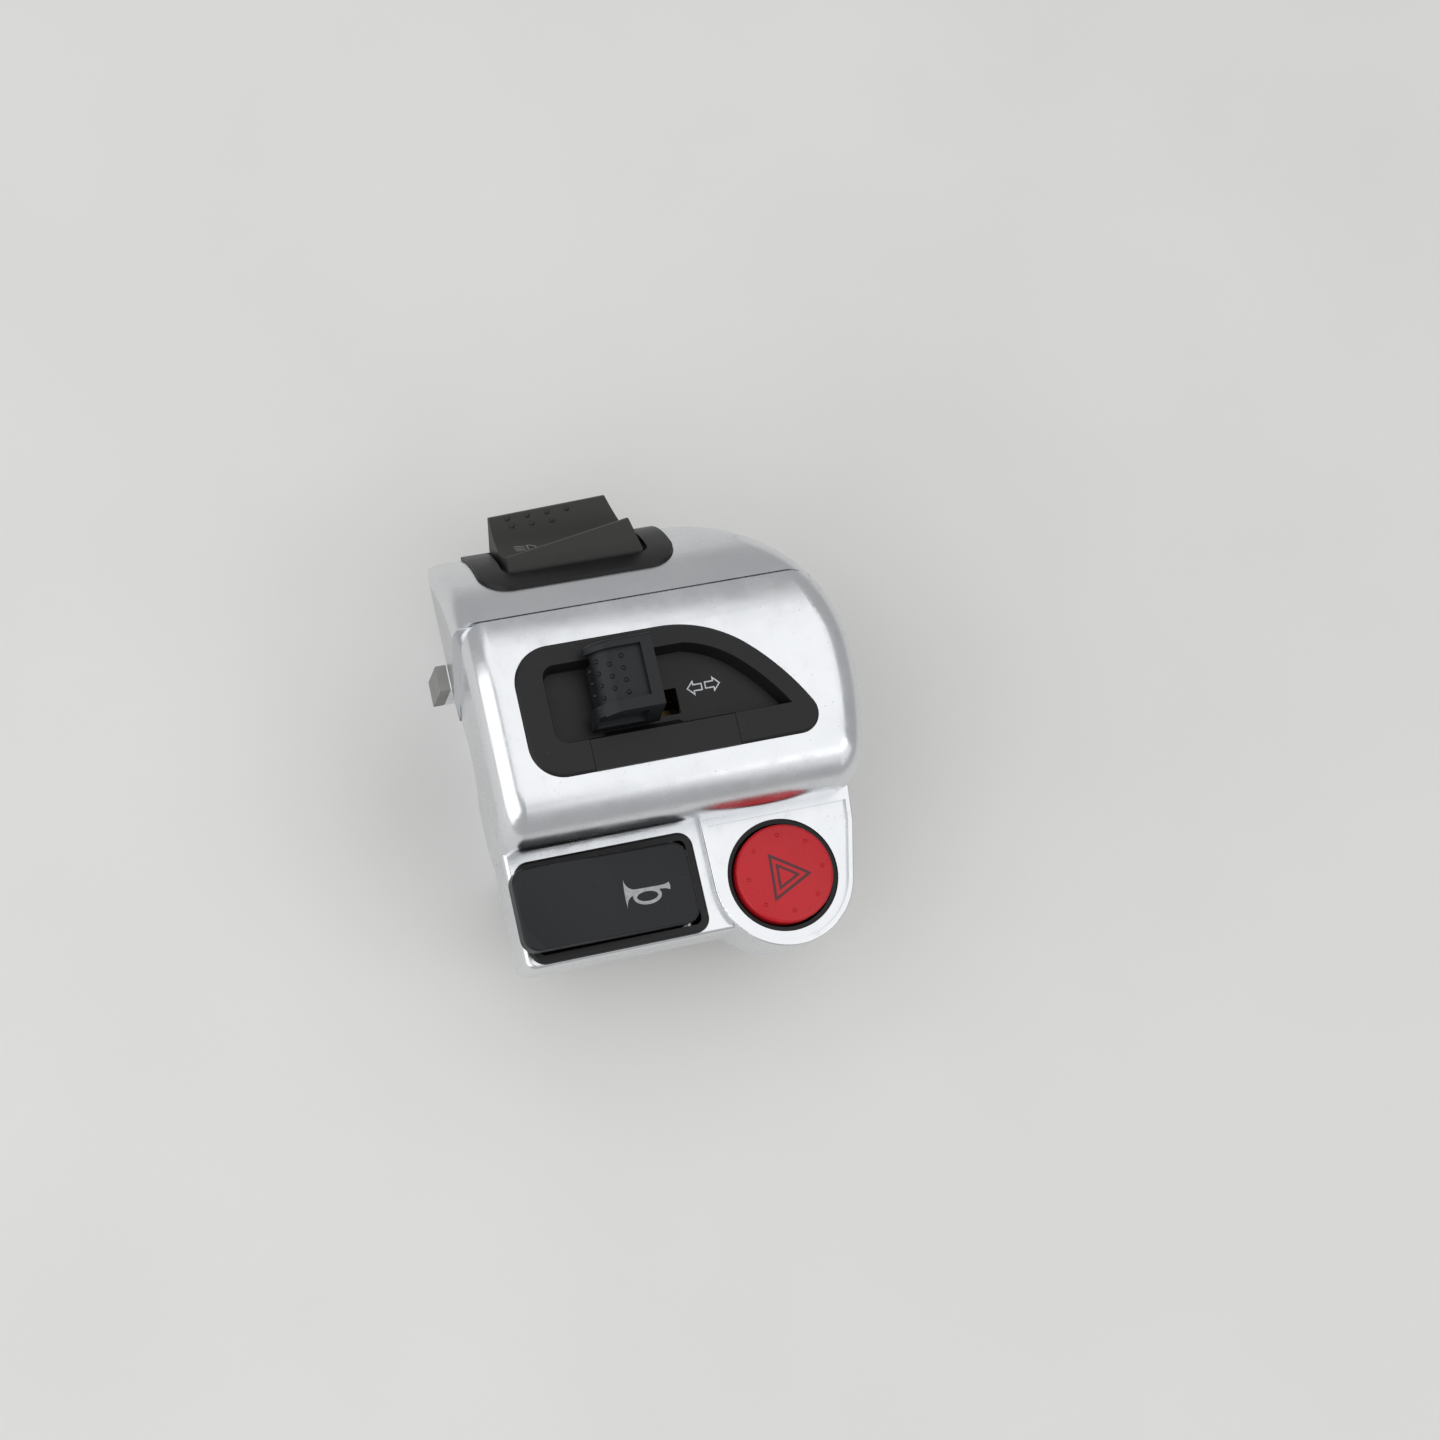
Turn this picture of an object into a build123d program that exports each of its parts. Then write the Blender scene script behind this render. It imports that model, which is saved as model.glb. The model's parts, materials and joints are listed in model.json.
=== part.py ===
from build123d import *
from math import acos, asin, atan2, cos, degrees, hypot, radians, sin, sqrt, tan
import os

os.makedirs("parts", exist_ok=True)

# Handlebar switch cluster for a scooter, in millimetres.
# X runs along the handlebar towards the middle of the vehicle, Z out of the face that
# carries the buttons, Y towards the beam rocker. The origin lies on the handlebar's axis.

# Handlebar
bar_radius = 11.1
bar_clearance = 0.1

# Fits shared by all the switches
cut_overrun = 4.0
pin_gap = 0.04
slide_gap = 0.25
seat_gap = 0.08

# Housing across the bar
face_height = 28.0
back_depth = 22.0
rear_reach = 18.0
roll_bulge = 2.0
roll_centre_y = 7.0
face_roll_radius = 8.0
back_corner_radius = 6.0
back_front_radius = 3.0
wall = 2.0

# Housing along the bar
outboard_reach = 30.5
rear_setback = 1.0
inboard_reach = 32.5
nose_radius = 31.5
nose_lead = 0.5
nose_blend_radius = 59.0
nose_edge_radius = 5.0
end_wall = 4.0
underside_start = 8.0
underside_angle = 12.0
rear_edge_radius = 4.0
front_edge_radius = 3.0

# Joint between the two shells, in the plane that holds the bar's axis
parting_angle = 55.0
seam_width = 0.3
seam_depth = 0.8

# Raised lug on the front shell's outboard end
lug_reach = 1.8
lug_thickness = 4.2
lug_low = 1.5
lug_high = 12.0

# Screws that close the shells
screw_shank_radius = 2.0
screw_head_radius = 3.5
screw_head_height = 2.6
screw_slot_width = 1.0
screw_slot_depth = 1.2
screw_seat = 5.0
screw_grip = 6.0
screw_boss_radius = 4.6
screw_bar_distance = 6.0
screw_back_spread = 19.0
screw_back_shift = -0.5
screw_top_offset = 20.0
screw_top_inset = 9.0

# Lower block with the horn and hazard switches
block_setback = 2.0
block_reach = 35.8
block_corner_radius = 1.8
block_edge_radius = 0.9
block_top = 14.0
block_skirt = 4.0
block_floor = -10.0
block_taper_angle = 10.0
block_root = 3.0
hazard_inset = 17.3
hazard_y = -28.9
boss_radius = 11.6
boss_top = 15.0
boss_bulge_inset = 3.9
boss_bulge_y = -22.5
boss_root_inset = 3.3
boss_root_y = -17.0
rim_height = 0.8
rim_width = 0.9
rim_edge_radius = 0.3

# Turn signal bezel, outlined clockwise from its top edge
turn_rise = 0.5
turn_seat_depth = 1.2
turn_neck_inset = 1.4
turn_neck_depth = 4.0
turn_top_y = 11.9
turn_left_margin = 7.3
turn_left_top_radius = 6.0
turn_left_low_radius = 5.4
turn_sweep_x = 1.1
turn_sweep_radius = 20.0
turn_sweep_angle = 42.0
turn_side_radius = 40.0
turn_side_angle = 20.0
turn_tip_radius = 3.3
turn_edge_bevel = 0.35

# Sunk field of the turn signal bezel
field_inset = 3.0
field_left_inset = 4.4
field_top_y = 8.6
field_low_y = -4.0
field_depth = 3.3
field_taper_angle = 12.0
field_corner_radius = 2.0

# Strip let into the lower edge of the turn signal bezel
strip_left_x = -13.7
strip_right_x = 10.0
strip_depth = 1.3
strip_ramp_left_x = -10.5
strip_ramp_right_x = 1.9
strip_ramp_width = 1.3

# Turn signal knob
knob_width = 10.8
knob_centre_x = -7.2
knob_low_y = -2.8
knob_high_y = 10.0
knob_rise = 6.0
knob_float = 1.8
knob_roll_radius = 5.0
knob_edge_radius = 0.6
knob_front_lean = 1.2
knob_back_clearance = 1.8
knob_travel = 7.2
pad_depth = 1.0
pad_rim = 1.9
pad_front_rim = 3.0
pad_back_rim = 1.4
grip_height = 4.2
grip_lip = 1.3
grip_depth = 1.2
grip_leg = 2.4
grip_end = 0.5
dot_radius = 0.38
dot_pitch = 2.08
dot_row_spacing = 1.95
dot_lead = 0.7
dot_margin = 1.4

# Turn signal mechanism
post_width = 4.0
post_depth = 3.6
post_y = 0.2
push_spring_share = 0.405
slot_margin = 0.3
carriage_width = 10.0
carriage_depth = 9.6
turn_bar_clearance = 1.7
carriage_drop = 0.4
carriage_floor = 1.0
bridge_thickness = 0.6
bridge_share = 0.6
strip_contact_gap = 0.3
strip_contact_thickness = 0.7
strip_contact_width = 1.6
strip_contact_pitch = 2.9
strip_contact_tail = 2.4
turn_body_wall = 1.6
turn_body_floor = 1.2
turn_ear_radius = 2.6
turn_ear_height = 3.0
turn_screw_left_x = -20.4
turn_screw_right_x = 13.2
turn_screw_left_y = 0.0
turn_screw_right_y = -6.2
turn_screw_radius = 1.0
turn_screw_head_radius = 1.8
turn_screw_head_height = 1.2
turn_screw_grip = 3.0
push_spring_radius = 1.3
push_spring_wire = 0.25
push_spring_turns = 3
detent_ball_radius = 0.9
detent_hole_depth = 2.8
detent_proud = 0.2
detent_share = 0.456
detent_notch = 0.4
detent_spring_wire = 0.18
detent_spring_turns = 2

# Horn button and its frame
horn_centre_y = -27.0
horn_frame_margin = 1.1
horn_frame_right_x = 1.9
horn_frame_depth = 16.4
horn_frame_rim = 1.3
horn_frame_rise = 0.6
horn_frame_seat = 0.9
horn_frame_drop = 6.8
horn_frame_corner = 2.4
horn_neck_inset = 0.4
horn_hinge_x = -1.4
horn_hinge_drop = 1.8
horn_hinge_radius = 1.0
horn_hub_radius = 1.7
horn_tilt_angle = 7.0
horn_press_angle = 5.0
horn_overhang = 1.9
horn_right_reach = 1.3
horn_depth = 13.2
horn_under = 1.6
horn_thickness = 2.6
horn_corner = 2.4
horn_edge_radius = 0.5
horn_skirt_gap = 0.9
horn_skirt_right = 1.0
horn_skirt_drop = 4.6
horn_skirt_inset = 0.5
dish_radius = 8.2
dish_depth = 0.45
dish_from_end = 8.6

# Horn mechanism
horn_lever_share = 0.523
horn_plunger_radius = 2.0
horn_plunger_top_gap = 0.15
horn_flange_radius = 3.0
horn_flange_height = 1.0
horn_body_share = 0.614
horn_body_depth = 9.6
horn_body_height = 13.0
horn_body_wall = 1.2
horn_disc_radius = 3.4
horn_disc_thickness = 0.6
horn_contact_gap = 0.15
horn_spring_radius = 2.2
horn_spring_wire = 0.35
horn_spring_turns = 6
contact_post_radius = 0.5
contact_tail = 1.8

# Hazard button and its collar
hazard_hole_radius = 9.15
collar_wall = 0.7
collar_sink = 0.4
collar_bottom = 5.0
collar_shoulder = 0.35
collar_shoulder_height = 1.0
hazard_cap_radius = 8.0
hazard_cap_proud = 1.5
hazard_dome_rise = 0.6
hazard_cap_skirt = 8.0
hazard_cap_wall = 1.4
hazard_cap_roof = 2.0
hazard_edge_radius = 0.5
hazard_stem_radius = 2.6
hazard_stem_bottom = -2.4
hazard_travel = 2.0
hazard_dot_ring = 6.2
hazard_dot_radius = 0.32
hazard_dot_count = 8

# Hazard mechanism
hazard_plate_height = 2.0
hazard_body_radius = 6.9
hazard_body_bottom = -6.6
hazard_body_wall = 1.3
hazard_spring_radius = 4.0
hazard_spring_wire = 0.4
hazard_spring_turns = 5
hazard_disc_radius = 4.6
hazard_disc_thickness = 0.6

# Beam rocker and its bezel, on the rounded front
beam_face_angle = 61.0
beam_x = -7.7
beam_width = 22.2
beam_depth = 15.0
beam_opening_width = 24.2
beam_opening_depth = 16.4
beam_opening_radius = 2.0
beam_bezel_width = 32.4
beam_bezel_low = 11.4
beam_bezel_high = 10.6
beam_bezel_corner = 5.0
beam_bezel_rise = 0.6
beam_bezel_seat = 1.2
beam_neck_wall = 1.3
beam_neck_bottom = -6.4
beam_pivot_height = -3.0
beam_pivot_radius = 1.25
beam_skirt_bottom = -3.9
beam_hub_radius = 2.2
beam_tilt_angle = 7.0
far_left_rise = 5.5
far_right_rise = 6.3
valley_rise = 1.3
near_left_rise = 1.7
near_right_rise = 5.2
ridge_width = 0.8
beam_end_angle = 19.0
beam_outer_angle = 3.0
beam_side_lean = 0.5
beam_dot_radius = 0.42
beam_dot_first_x = -7.8
beam_dot_pitch = 3.35
beam_dot_shift = 0.5
beam_dot_far_y = 5.85
beam_dot_near_y = 4.9
beam_dot_columns = 4

# Beam mechanism
leg_radius = 2.6
leg_bottom = -8.4
beam_plunger_radius = 1.4
beam_plunger_length = 4.0
beam_plunger_drop = 1.0
beam_spring_radius = 1.0
beam_spring_wire = 0.15
beam_spring_turns = 3
seesaw_length = 9.0
seesaw_width = 18.0
seesaw_thickness = 0.7
seesaw_height = -11.6
seesaw_pin_radius = 0.7
seesaw_hub_radius = 1.2
seesaw_share = 0.6
beam_body_length = 26.0
beam_body_depth = 14.0
beam_body_bottom = -16.2
beam_flange = 1.2
beam_body_wall = 1.5
beam_tail = 2.6
beam_tail_width = 2.4
beam_tail_thickness = 0.6
beam_tail_gap = 0.3
beam_tail_pitch = 5.0
beam_tail_offset = 3.4
beam_tail_count = 4

# Cable grommet in the inboard wall of the lower block
grommet_y = -24.0
grommet_z = -2.5
grommet_pad_radius = 6.2
grommet_pad_inset = 3.3
grommet_pad_length = 4.6
grommet_neck_radius = 4.0
grommet_flange_radius = 5.2
grommet_flange = 1.6
grommet_bore_radius = 2.75

# Opening for the wires between the lower block and the housing
window_reach = 22.0
window_low_y = -18.5
window_high_y = -15.5
window_low = -6.0
window_high = 8.0

roll_radius = (face_height + back_depth) / 2 + roll_bulge
roll_centre_z = face_height - roll_radius
nose_centre_x = inboard_reach - nose_radius
nose_centre_y = roll_centre_y + roll_radius + nose_lead - nose_radius
bore_radius = bar_radius + bar_clearance
housing_length = outboard_reach + inboard_reach
hazard_x = inboard_reach - hazard_inset
parting_turn = radians(parting_angle)
parting_normal = Vector(0, sin(parting_turn), -cos(parting_turn))
parting_plane = Plane(origin=(0, 0, 0), x_dir=(1, 0, 0), z_dir=parting_normal)


def housing_form(inset, end_inset):
    """Closed form of the housing, moved inwards by its wall and its end wall."""
    back_angle = degrees(asin((back_depth + roll_centre_z) / roll_radius))
    blend_turn = degrees(asin((nose_centre_y + rear_reach + cut_overrun) / nose_blend_radius))
    with BuildPart() as form:
        with BuildSketch(Plane.YZ.offset(end_inset - outboard_reach)) as across:
            with BuildLine():
                roll = CenterArc((roll_centre_y, roll_centre_z), roll_radius, 90, -90 - back_angle)
                Polyline(roll @ 1, (-rear_reach, -back_depth), (-rear_reach, face_height), roll @ 0)
            make_face()
            rear_corners = across.vertices().group_by(Axis.X)[0]
            fillet(rear_corners.sort_by(Axis.Y)[-1], face_roll_radius)
            fillet(across.vertices().group_by(Axis.Y)[0].sort_by(Axis.X)[0], back_corner_radius)
            fillet(across.vertices().group_by(Axis.Y)[0].sort_by(Axis.X)[-1], back_front_radius)
            if inset > 0:
                offset(amount=-inset)
        extrude(amount=housing_length)
        with BuildSketch(Plane.XY.offset(-back_depth - cut_overrun)):
            with BuildLine():
                nose = CenterArc((nose_centre_x, nose_centre_y), nose_radius - end_inset, 90, -90)
                blend = CenterArc((inboard_reach - nose_blend_radius, nose_centre_y),
                                  nose_blend_radius - end_inset, 0, -blend_turn)
                far_x = -outboard_reach - cut_overrun
                Polyline(blend @ 1, (far_x, (blend @ 1).Y), (far_x, (nose @ 0).Y), nose @ 0)
            make_face()
        extrude(amount=back_depth + face_height + 2 * cut_overrun, mode=Mode.INTERSECT)
        trim = underside_plane(end_inset)
        split(bisect_by=trim, keep=Keep.BOTTOM)
    return form.part


def underside_plane(inset):
    """Plane that draws the outboard end in below the bar, facing outboard."""
    turn = radians(underside_angle)
    outward = Vector(-cos(turn), 0, -sin(turn))
    start = Vector(rear_setback - outboard_reach, 0, underside_start)
    return Plane(origin=start - outward * inset, x_dir=(0, 1, 0), z_dir=outward)


def rounded_housing():
    """Housing form with its inboard end rounded."""
    with BuildPart() as rounded:
        add(housing_form(0, 0))
        nose_seam = rounded.edges().filter_by(Axis.Z).sort_by(Axis.X)[-1]
        nose_edges = rounded.edges().filter_by(lambda edge: edge.bounding_box().min.X > nose_centre_x)
        fillet([edge for edge in nose_edges if edge != nose_seam], nose_edge_radius)
    return rounded.part


turn_left_x = turn_left_margin - outboard_reach
field_left_x = turn_left_x + field_left_inset


def turn_outline(height, inset):
    """Outline of the turn signal bezel, moved inwards."""
    with BuildSketch(Plane.XY.offset(height)) as outline:
        with BuildLine():
            top = Line((turn_left_x + turn_left_top_radius, turn_top_y), (turn_sweep_x, turn_top_y))
            sweep = JernArc(top @ 1, top % 1, turn_sweep_radius, -turn_sweep_angle)
            side = JernArc(sweep @ 1, sweep % 1, turn_side_radius, -turn_side_angle)
            tip = JernArc(side @ 1, side % 1, turn_tip_radius, turn_sweep_angle + turn_side_angle - 180)
            low = Line(tip @ 1, (turn_left_x + turn_left_low_radius, (tip @ 1).Y))
            corner = JernArc(low @ 1, low % 1, turn_left_low_radius, -90)
            left = Line(corner @ 1, (turn_left_x, turn_top_y - turn_left_top_radius))
            JernArc(left @ 1, left % 1, turn_left_top_radius, -90)
        make_face()
        if inset != 0:
            offset(amount=-inset)
    return outline.sketch


def block(x_low, x_high, y_low, y_high, z_low, z_high):
    """Plain rectangular solid between the given limits."""
    with BuildPart(mode=Mode.PRIVATE) as solid:
        with BuildSketch(Plane.XY.offset(z_low)):
            with BuildLine():
                Polyline((x_low, y_low), (x_high, y_low), (x_high, y_high), (x_low, y_high), close=True)
            make_face()
        extrude(amount=z_high - z_low)
    return solid.part


def coil(base, direction, length, radius, wire, turns):
    """Round-wire coil spring that stands on its base and runs along its direction."""
    axis = Vector(*direction)
    rise = length - 2 * wire
    start = Vector(*base) + axis * wire
    path = Helix(pitch=rise / turns, height=rise, radius=radius, center=start, direction=axis)
    with BuildPart(mode=Mode.PRIVATE) as spring:
        with BuildSketch(Plane(origin=path @ 0, z_dir=path % 0)):
            Circle(wire)
        sweep(path=path)
    return spring.part


turn_top = face_height + turn_rise
turn_seat = face_height - turn_seat_depth
turn_neck_bottom = face_height - turn_neck_depth
turn_field = turn_top - field_depth
ramp_low_y = field_low_y - strip_ramp_width
ramp_high_y = field_low_y + strip_ramp_width
turn_low_y = turn_outline(0, 0).bounding_box().min.Y
strip_bottom = turn_top - strip_depth
knob_top = face_height + knob_rise
knob_bottom = turn_field + knob_float
knob_left_x = knob_centre_x - knob_width / 2
knob_right_x = knob_centre_x + knob_width / 2
dot_first_y = knob_high_y - pad_back_rim - dot_margin
slot_half_depth = post_depth / 2 + slot_margin
carriage_top = turn_neck_bottom - carriage_drop
turn_body_bottom = bore_radius + turn_bar_clearance
turn_cavity_floor = turn_body_bottom + turn_body_floor
strip_contact_top = turn_cavity_floor + strip_contact_thickness
bridge_bottom = strip_contact_top + strip_contact_gap
carriage_bottom = bridge_bottom + bridge_thickness
carriage_height = carriage_top - carriage_bottom
post_bottom = carriage_bottom + carriage_floor + carriage_height * push_spring_share
carriage_low_y = post_y - carriage_depth / 2
carriage_high_y = post_y + carriage_depth / 2
carriage_left_x = knob_centre_x - carriage_width / 2
carriage_right_x = knob_centre_x + carriage_width / 2
turn_cavity_left = carriage_left_x - slide_gap
turn_cavity_right = carriage_right_x + knob_travel + slide_gap
turn_cavity_low = carriage_low_y - slide_gap
turn_cavity_high = carriage_high_y + slide_gap
detent_z = carriage_bottom + carriage_height * detent_share


def turn_screw_places(height):
    """Places of the two screws that hold the turn signal body to its bezel."""
    return [(turn_screw_left_x, turn_screw_left_y, height), (turn_screw_right_x, turn_screw_right_y, height)]


# Turn signal bezel: a plate with a sunk field, a slot for the knob and a neck in the housing
with BuildPart() as turn_bezel:
    add(turn_outline(turn_seat, 0))
    extrude(amount=turn_top - turn_seat)
    chamfer(turn_bezel.faces().sort_by(Axis.Z)[-1].edges(), turn_edge_bevel)
    extrude(turn_outline(turn_neck_bottom, turn_neck_inset), amount=turn_seat - turn_neck_bottom)
    with BuildSketch(Plane.XY.offset(turn_top)) as field:
        with BuildLine():
            Polyline((field_left_x, field_low_y), (-turn_left_x, field_low_y),
                     (-turn_left_x, field_top_y), (field_left_x, field_top_y), close=True)
        make_face()
        fillet(field.vertices().group_by(Axis.X)[0], field_corner_radius)
        add(turn_outline(0, field_inset), mode=Mode.INTERSECT)
    extrude(amount=-field_depth, taper=field_taper_angle, mode=Mode.SUBTRACT)
    add(block(strip_left_x, strip_right_x, turn_low_y - cut_overrun, field_low_y, strip_bottom,
              turn_top + cut_overrun), mode=Mode.SUBTRACT)
    add(block(strip_ramp_left_x, strip_ramp_right_x, ramp_low_y, ramp_high_y,
              turn_field, turn_top + cut_overrun), mode=Mode.SUBTRACT)
    add(block(knob_centre_x - post_width / 2 - slot_margin,
              knob_centre_x + post_width / 2 + knob_travel + slot_margin,
              post_y - slot_half_depth, post_y + slot_half_depth,
              turn_neck_bottom - cut_overrun, turn_top), mode=Mode.SUBTRACT)
    with Locations(*turn_screw_places(turn_neck_bottom)):
        Cylinder(turn_screw_radius + seat_gap, turn_screw_grip,
                 align=(Align.CENTER, Align.CENTER, Align.MIN), mode=Mode.SUBTRACT)


# Strip that closes the lower edge of the bezel and slopes down into its field
with BuildPart() as turn_bezel_strip:
    add(block(strip_left_x + seat_gap, strip_right_x - seat_gap, turn_low_y, field_low_y - seat_gap,
              strip_bottom, turn_top))
    with BuildSketch(Plane.YZ.offset(strip_ramp_left_x + seat_gap)):
        with BuildLine():
            Polyline((ramp_low_y + seat_gap, turn_top), (field_low_y - seat_gap, turn_top),
                     (ramp_high_y - seat_gap, turn_field), (ramp_low_y + seat_gap, turn_field), close=True)
        make_face()
    extrude(amount=strip_ramp_right_x - strip_ramp_left_x - 2 * seat_gap)


def pad_place(distance, y):
    """Point on the finger pad, at a distance along its curved top from where the curve starts."""
    start_x = knob_left_x + knob_roll_radius
    radius = knob_roll_radius - pad_depth
    if distance < 0:
        return (start_x - distance, y, knob_top - pad_depth)
    turn = distance / radius
    return (start_x - radius * sin(turn), y, knob_top - knob_roll_radius + radius * cos(turn))


# Turn signal knob with its finger pad, its grip pocket and the post that goes through the slot
with BuildPart() as turn_knob:
    with BuildSketch(Plane.YZ.offset(knob_left_x)):
        with BuildLine():
            Polyline((knob_low_y, knob_bottom), (field_top_y - pad_back_rim, knob_bottom),
                     (field_top_y - pad_back_rim, turn_top + knob_back_clearance),
                     (knob_high_y, turn_top + knob_back_clearance), (knob_high_y, knob_top),
                     (knob_low_y + knob_front_lean, knob_top), close=True)
        make_face()
    extrude(amount=knob_width)
    top_left = turn_knob.edges().filter_by(Axis.Y).group_by(Axis.Z)[-1].sort_by(Axis.X)[0]
    fillet(top_left, knob_roll_radius)
    fillet(turn_knob.edges().group_by(Axis.Y)[-1].group_by(Axis.Z)[-1], knob_edge_radius)
    with BuildSketch(Plane.XZ.offset(-knob_low_y - pad_front_rim)):
        with BuildLine():
            flat = Line((knob_right_x - pad_rim, knob_top - pad_depth),
                        (knob_left_x + knob_roll_radius, knob_top - pad_depth))
            curve = JernArc(flat @ 1, flat % 1, knob_roll_radius - pad_depth, 90)
            clear_x = knob_left_x - cut_overrun
            Polyline(curve @ 1, (knob_left_x + pad_depth, knob_bottom), (clear_x, knob_bottom),
                     (clear_x, knob_top + cut_overrun), (knob_right_x - pad_rim, knob_top + cut_overrun),
                     flat @ 0)
        make_face()
    extrude(amount=knob_low_y + pad_front_rim - knob_high_y + pad_back_rim, mode=Mode.SUBTRACT)
    grip_low = knob_bottom + grip_lip
    add(block(knob_left_x + grip_end, knob_right_x - grip_leg, knob_low_y - cut_overrun,
              knob_low_y + grip_depth, grip_low, grip_low + grip_height), mode=Mode.SUBTRACT)
    add(block(knob_centre_x - post_width / 2, knob_centre_x + post_width / 2,
              post_y - post_depth / 2, post_y + post_depth / 2, post_bottom, knob_bottom))
    for column in range(4):
        for row in range(4 - column % 2):
            row_shift = row + column % 2 / 2
            with Locations(pad_place(column * dot_pitch - dot_lead,
                                     dot_first_y - row_shift * dot_row_spacing)):
                Sphere(dot_radius)

# Carriage that the knob's post slides in, pushed by the knob to cancel the signal
with BuildPart() as turn_carriage:
    add(block(carriage_left_x, carriage_right_x, carriage_low_y, carriage_high_y,
              carriage_bottom, carriage_top))
    add(block(knob_centre_x - post_width / 2 - slide_gap / 2, knob_centre_x + post_width / 2 + slide_gap / 2,
              post_y - post_depth / 2 - slide_gap / 2, post_y + post_depth / 2 + slide_gap / 2,
              carriage_bottom + carriage_floor, carriage_top), mode=Mode.SUBTRACT)
    with BuildSketch(Plane.XZ.offset(-carriage_high_y)):
        with Locations((knob_centre_x, detent_z)):
            Circle(detent_ball_radius + seat_gap)
    extrude(amount=detent_hole_depth, mode=Mode.SUBTRACT)

with BuildPart() as turn_push_spring:
    add(coil((knob_centre_x, post_y, carriage_bottom + carriage_floor), (0, 0, 1),
             post_bottom - carriage_bottom - carriage_floor, push_spring_radius, push_spring_wire,
             push_spring_turns))

# Ball and spring that hold the knob in each of its places
with BuildPart() as turn_detent_ball:
    with Locations((knob_centre_x, carriage_high_y + detent_proud - detent_ball_radius, detent_z)):
        Sphere(detent_ball_radius)

with BuildPart() as turn_detent_spring:
    add(coil((knob_centre_x, carriage_high_y - detent_hole_depth, detent_z), (0, 1, 0),
             detent_hole_depth + detent_proud - 2 * detent_ball_radius, detent_ball_radius / 2,
             detent_spring_wire, detent_spring_turns))

# Contact bridge under the carriage and the three contact strips that it joins
with BuildPart() as turn_contact_bridge:
    bridge_reach = carriage_width / 2 * bridge_share
    add(block(knob_centre_x - bridge_reach, knob_centre_x + bridge_reach,
              post_y - bridge_reach, post_y + bridge_reach, bridge_bottom, carriage_bottom))

with BuildPart() as turn_contacts:
    for strip in (-1, 0, 1):
        strip_y = post_y + strip * strip_contact_pitch
        add(block(turn_cavity_left, turn_cavity_right + turn_body_wall + strip_contact_tail,
                  strip_y - strip_contact_width / 2, strip_y + strip_contact_width / 2,
                  turn_cavity_floor, strip_contact_top))

# Body that carries the carriage and is screwed to the back of the bezel
with BuildPart() as turn_switch_body:
    add(block(turn_cavity_left - turn_body_wall, turn_cavity_right + turn_body_wall,
              turn_cavity_low - turn_body_wall, turn_cavity_high + turn_body_wall,
              turn_body_bottom, turn_neck_bottom))
    ear_bottom = turn_neck_bottom - turn_ear_height
    with Locations(*turn_screw_places(ear_bottom)):
        Cylinder(turn_ear_radius, turn_ear_height, align=(Align.CENTER, Align.CENTER, Align.MIN))
    add(block(turn_screw_left_x, turn_cavity_left, turn_screw_left_y - turn_ear_radius,
              turn_screw_left_y + turn_ear_radius, ear_bottom, turn_neck_bottom))
    add(block(turn_cavity_right, turn_screw_right_x, turn_screw_right_y - turn_ear_radius,
              turn_cavity_low + turn_ear_radius, ear_bottom, turn_neck_bottom))
    add(block(turn_cavity_left, turn_cavity_right, turn_cavity_low, turn_cavity_high,
              turn_cavity_floor, turn_neck_bottom), mode=Mode.SUBTRACT)
    for strip in (-1, 0, 1):
        strip_y = post_y + strip * strip_contact_pitch
        add(block(turn_cavity_right, turn_cavity_right + turn_body_wall,
                  strip_y - strip_contact_width / 2, strip_y + strip_contact_width / 2,
                  turn_cavity_floor, strip_contact_top), mode=Mode.SUBTRACT)
    for stop in (0, 1, 2):
        with BuildSketch(Plane.XZ.offset(-turn_cavity_high)):
            with Locations((knob_centre_x + stop * knob_travel / 2, detent_z)):
                Circle(detent_ball_radius + seat_gap)
        extrude(amount=-detent_notch, mode=Mode.SUBTRACT)
    with Locations(*turn_screw_places(ear_bottom)):
        Cylinder(turn_screw_radius + seat_gap, turn_ear_height,
                 align=(Align.CENTER, Align.CENTER, Align.MIN), mode=Mode.SUBTRACT)

with BuildPart() as turn_screws:
    with Locations(*turn_screw_places(ear_bottom - turn_screw_head_height)):
        Cylinder(turn_screw_head_radius, turn_screw_head_height,
                 align=(Align.CENTER, Align.CENTER, Align.MIN))
    with Locations(*turn_screw_places(ear_bottom)):
        Cylinder(turn_screw_radius, turn_ear_height + turn_screw_grip - seat_gap,
                 align=(Align.CENTER, Align.CENTER, Align.MIN))

block_outboard = outboard_reach - block_setback
horn_frame_left_x = horn_frame_margin - block_outboard
horn_frame_run = horn_hinge_x - horn_frame_left_x
horn_lever = horn_frame_run * horn_lever_share
horn_plunger_x = horn_hinge_x - horn_lever
horn_body_length = (horn_frame_right_x - horn_frame_left_x) * horn_body_share
hinge_z = block_top - horn_hinge_drop
frame_top = block_top + horn_frame_rise
frame_seat = block_top - horn_frame_seat
frame_bottom = block_top - horn_frame_drop
tilt_turn = radians(horn_tilt_angle)
press_turn = radians(horn_press_angle)
button_plane = Plane(origin=(horn_hinge_x, horn_centre_y, hinge_z),
                     x_dir=(cos(tilt_turn), 0, -sin(tilt_turn)), z_dir=(sin(tilt_turn), 0, cos(tilt_turn)))
horn_length = horn_right_reach + horn_frame_run / cos(tilt_turn) + horn_overhang
horn_skirt_left = (horn_frame_run - horn_frame_rim) / cos(tilt_turn) - horn_skirt_gap
plunger_top = hinge_z + horn_lever * tan(tilt_turn) - horn_skirt_drop / cos(tilt_turn) - horn_plunger_top_gap
plunger_travel = horn_lever * press_turn
horn_body_top = frame_bottom
horn_body_floor = horn_body_top - horn_body_height
flange_top = horn_body_top - horn_body_wall - pin_gap
disc_bottom = flange_top - horn_flange_height - horn_disc_thickness
post_top = disc_bottom - plunger_travel - horn_contact_gap


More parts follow.
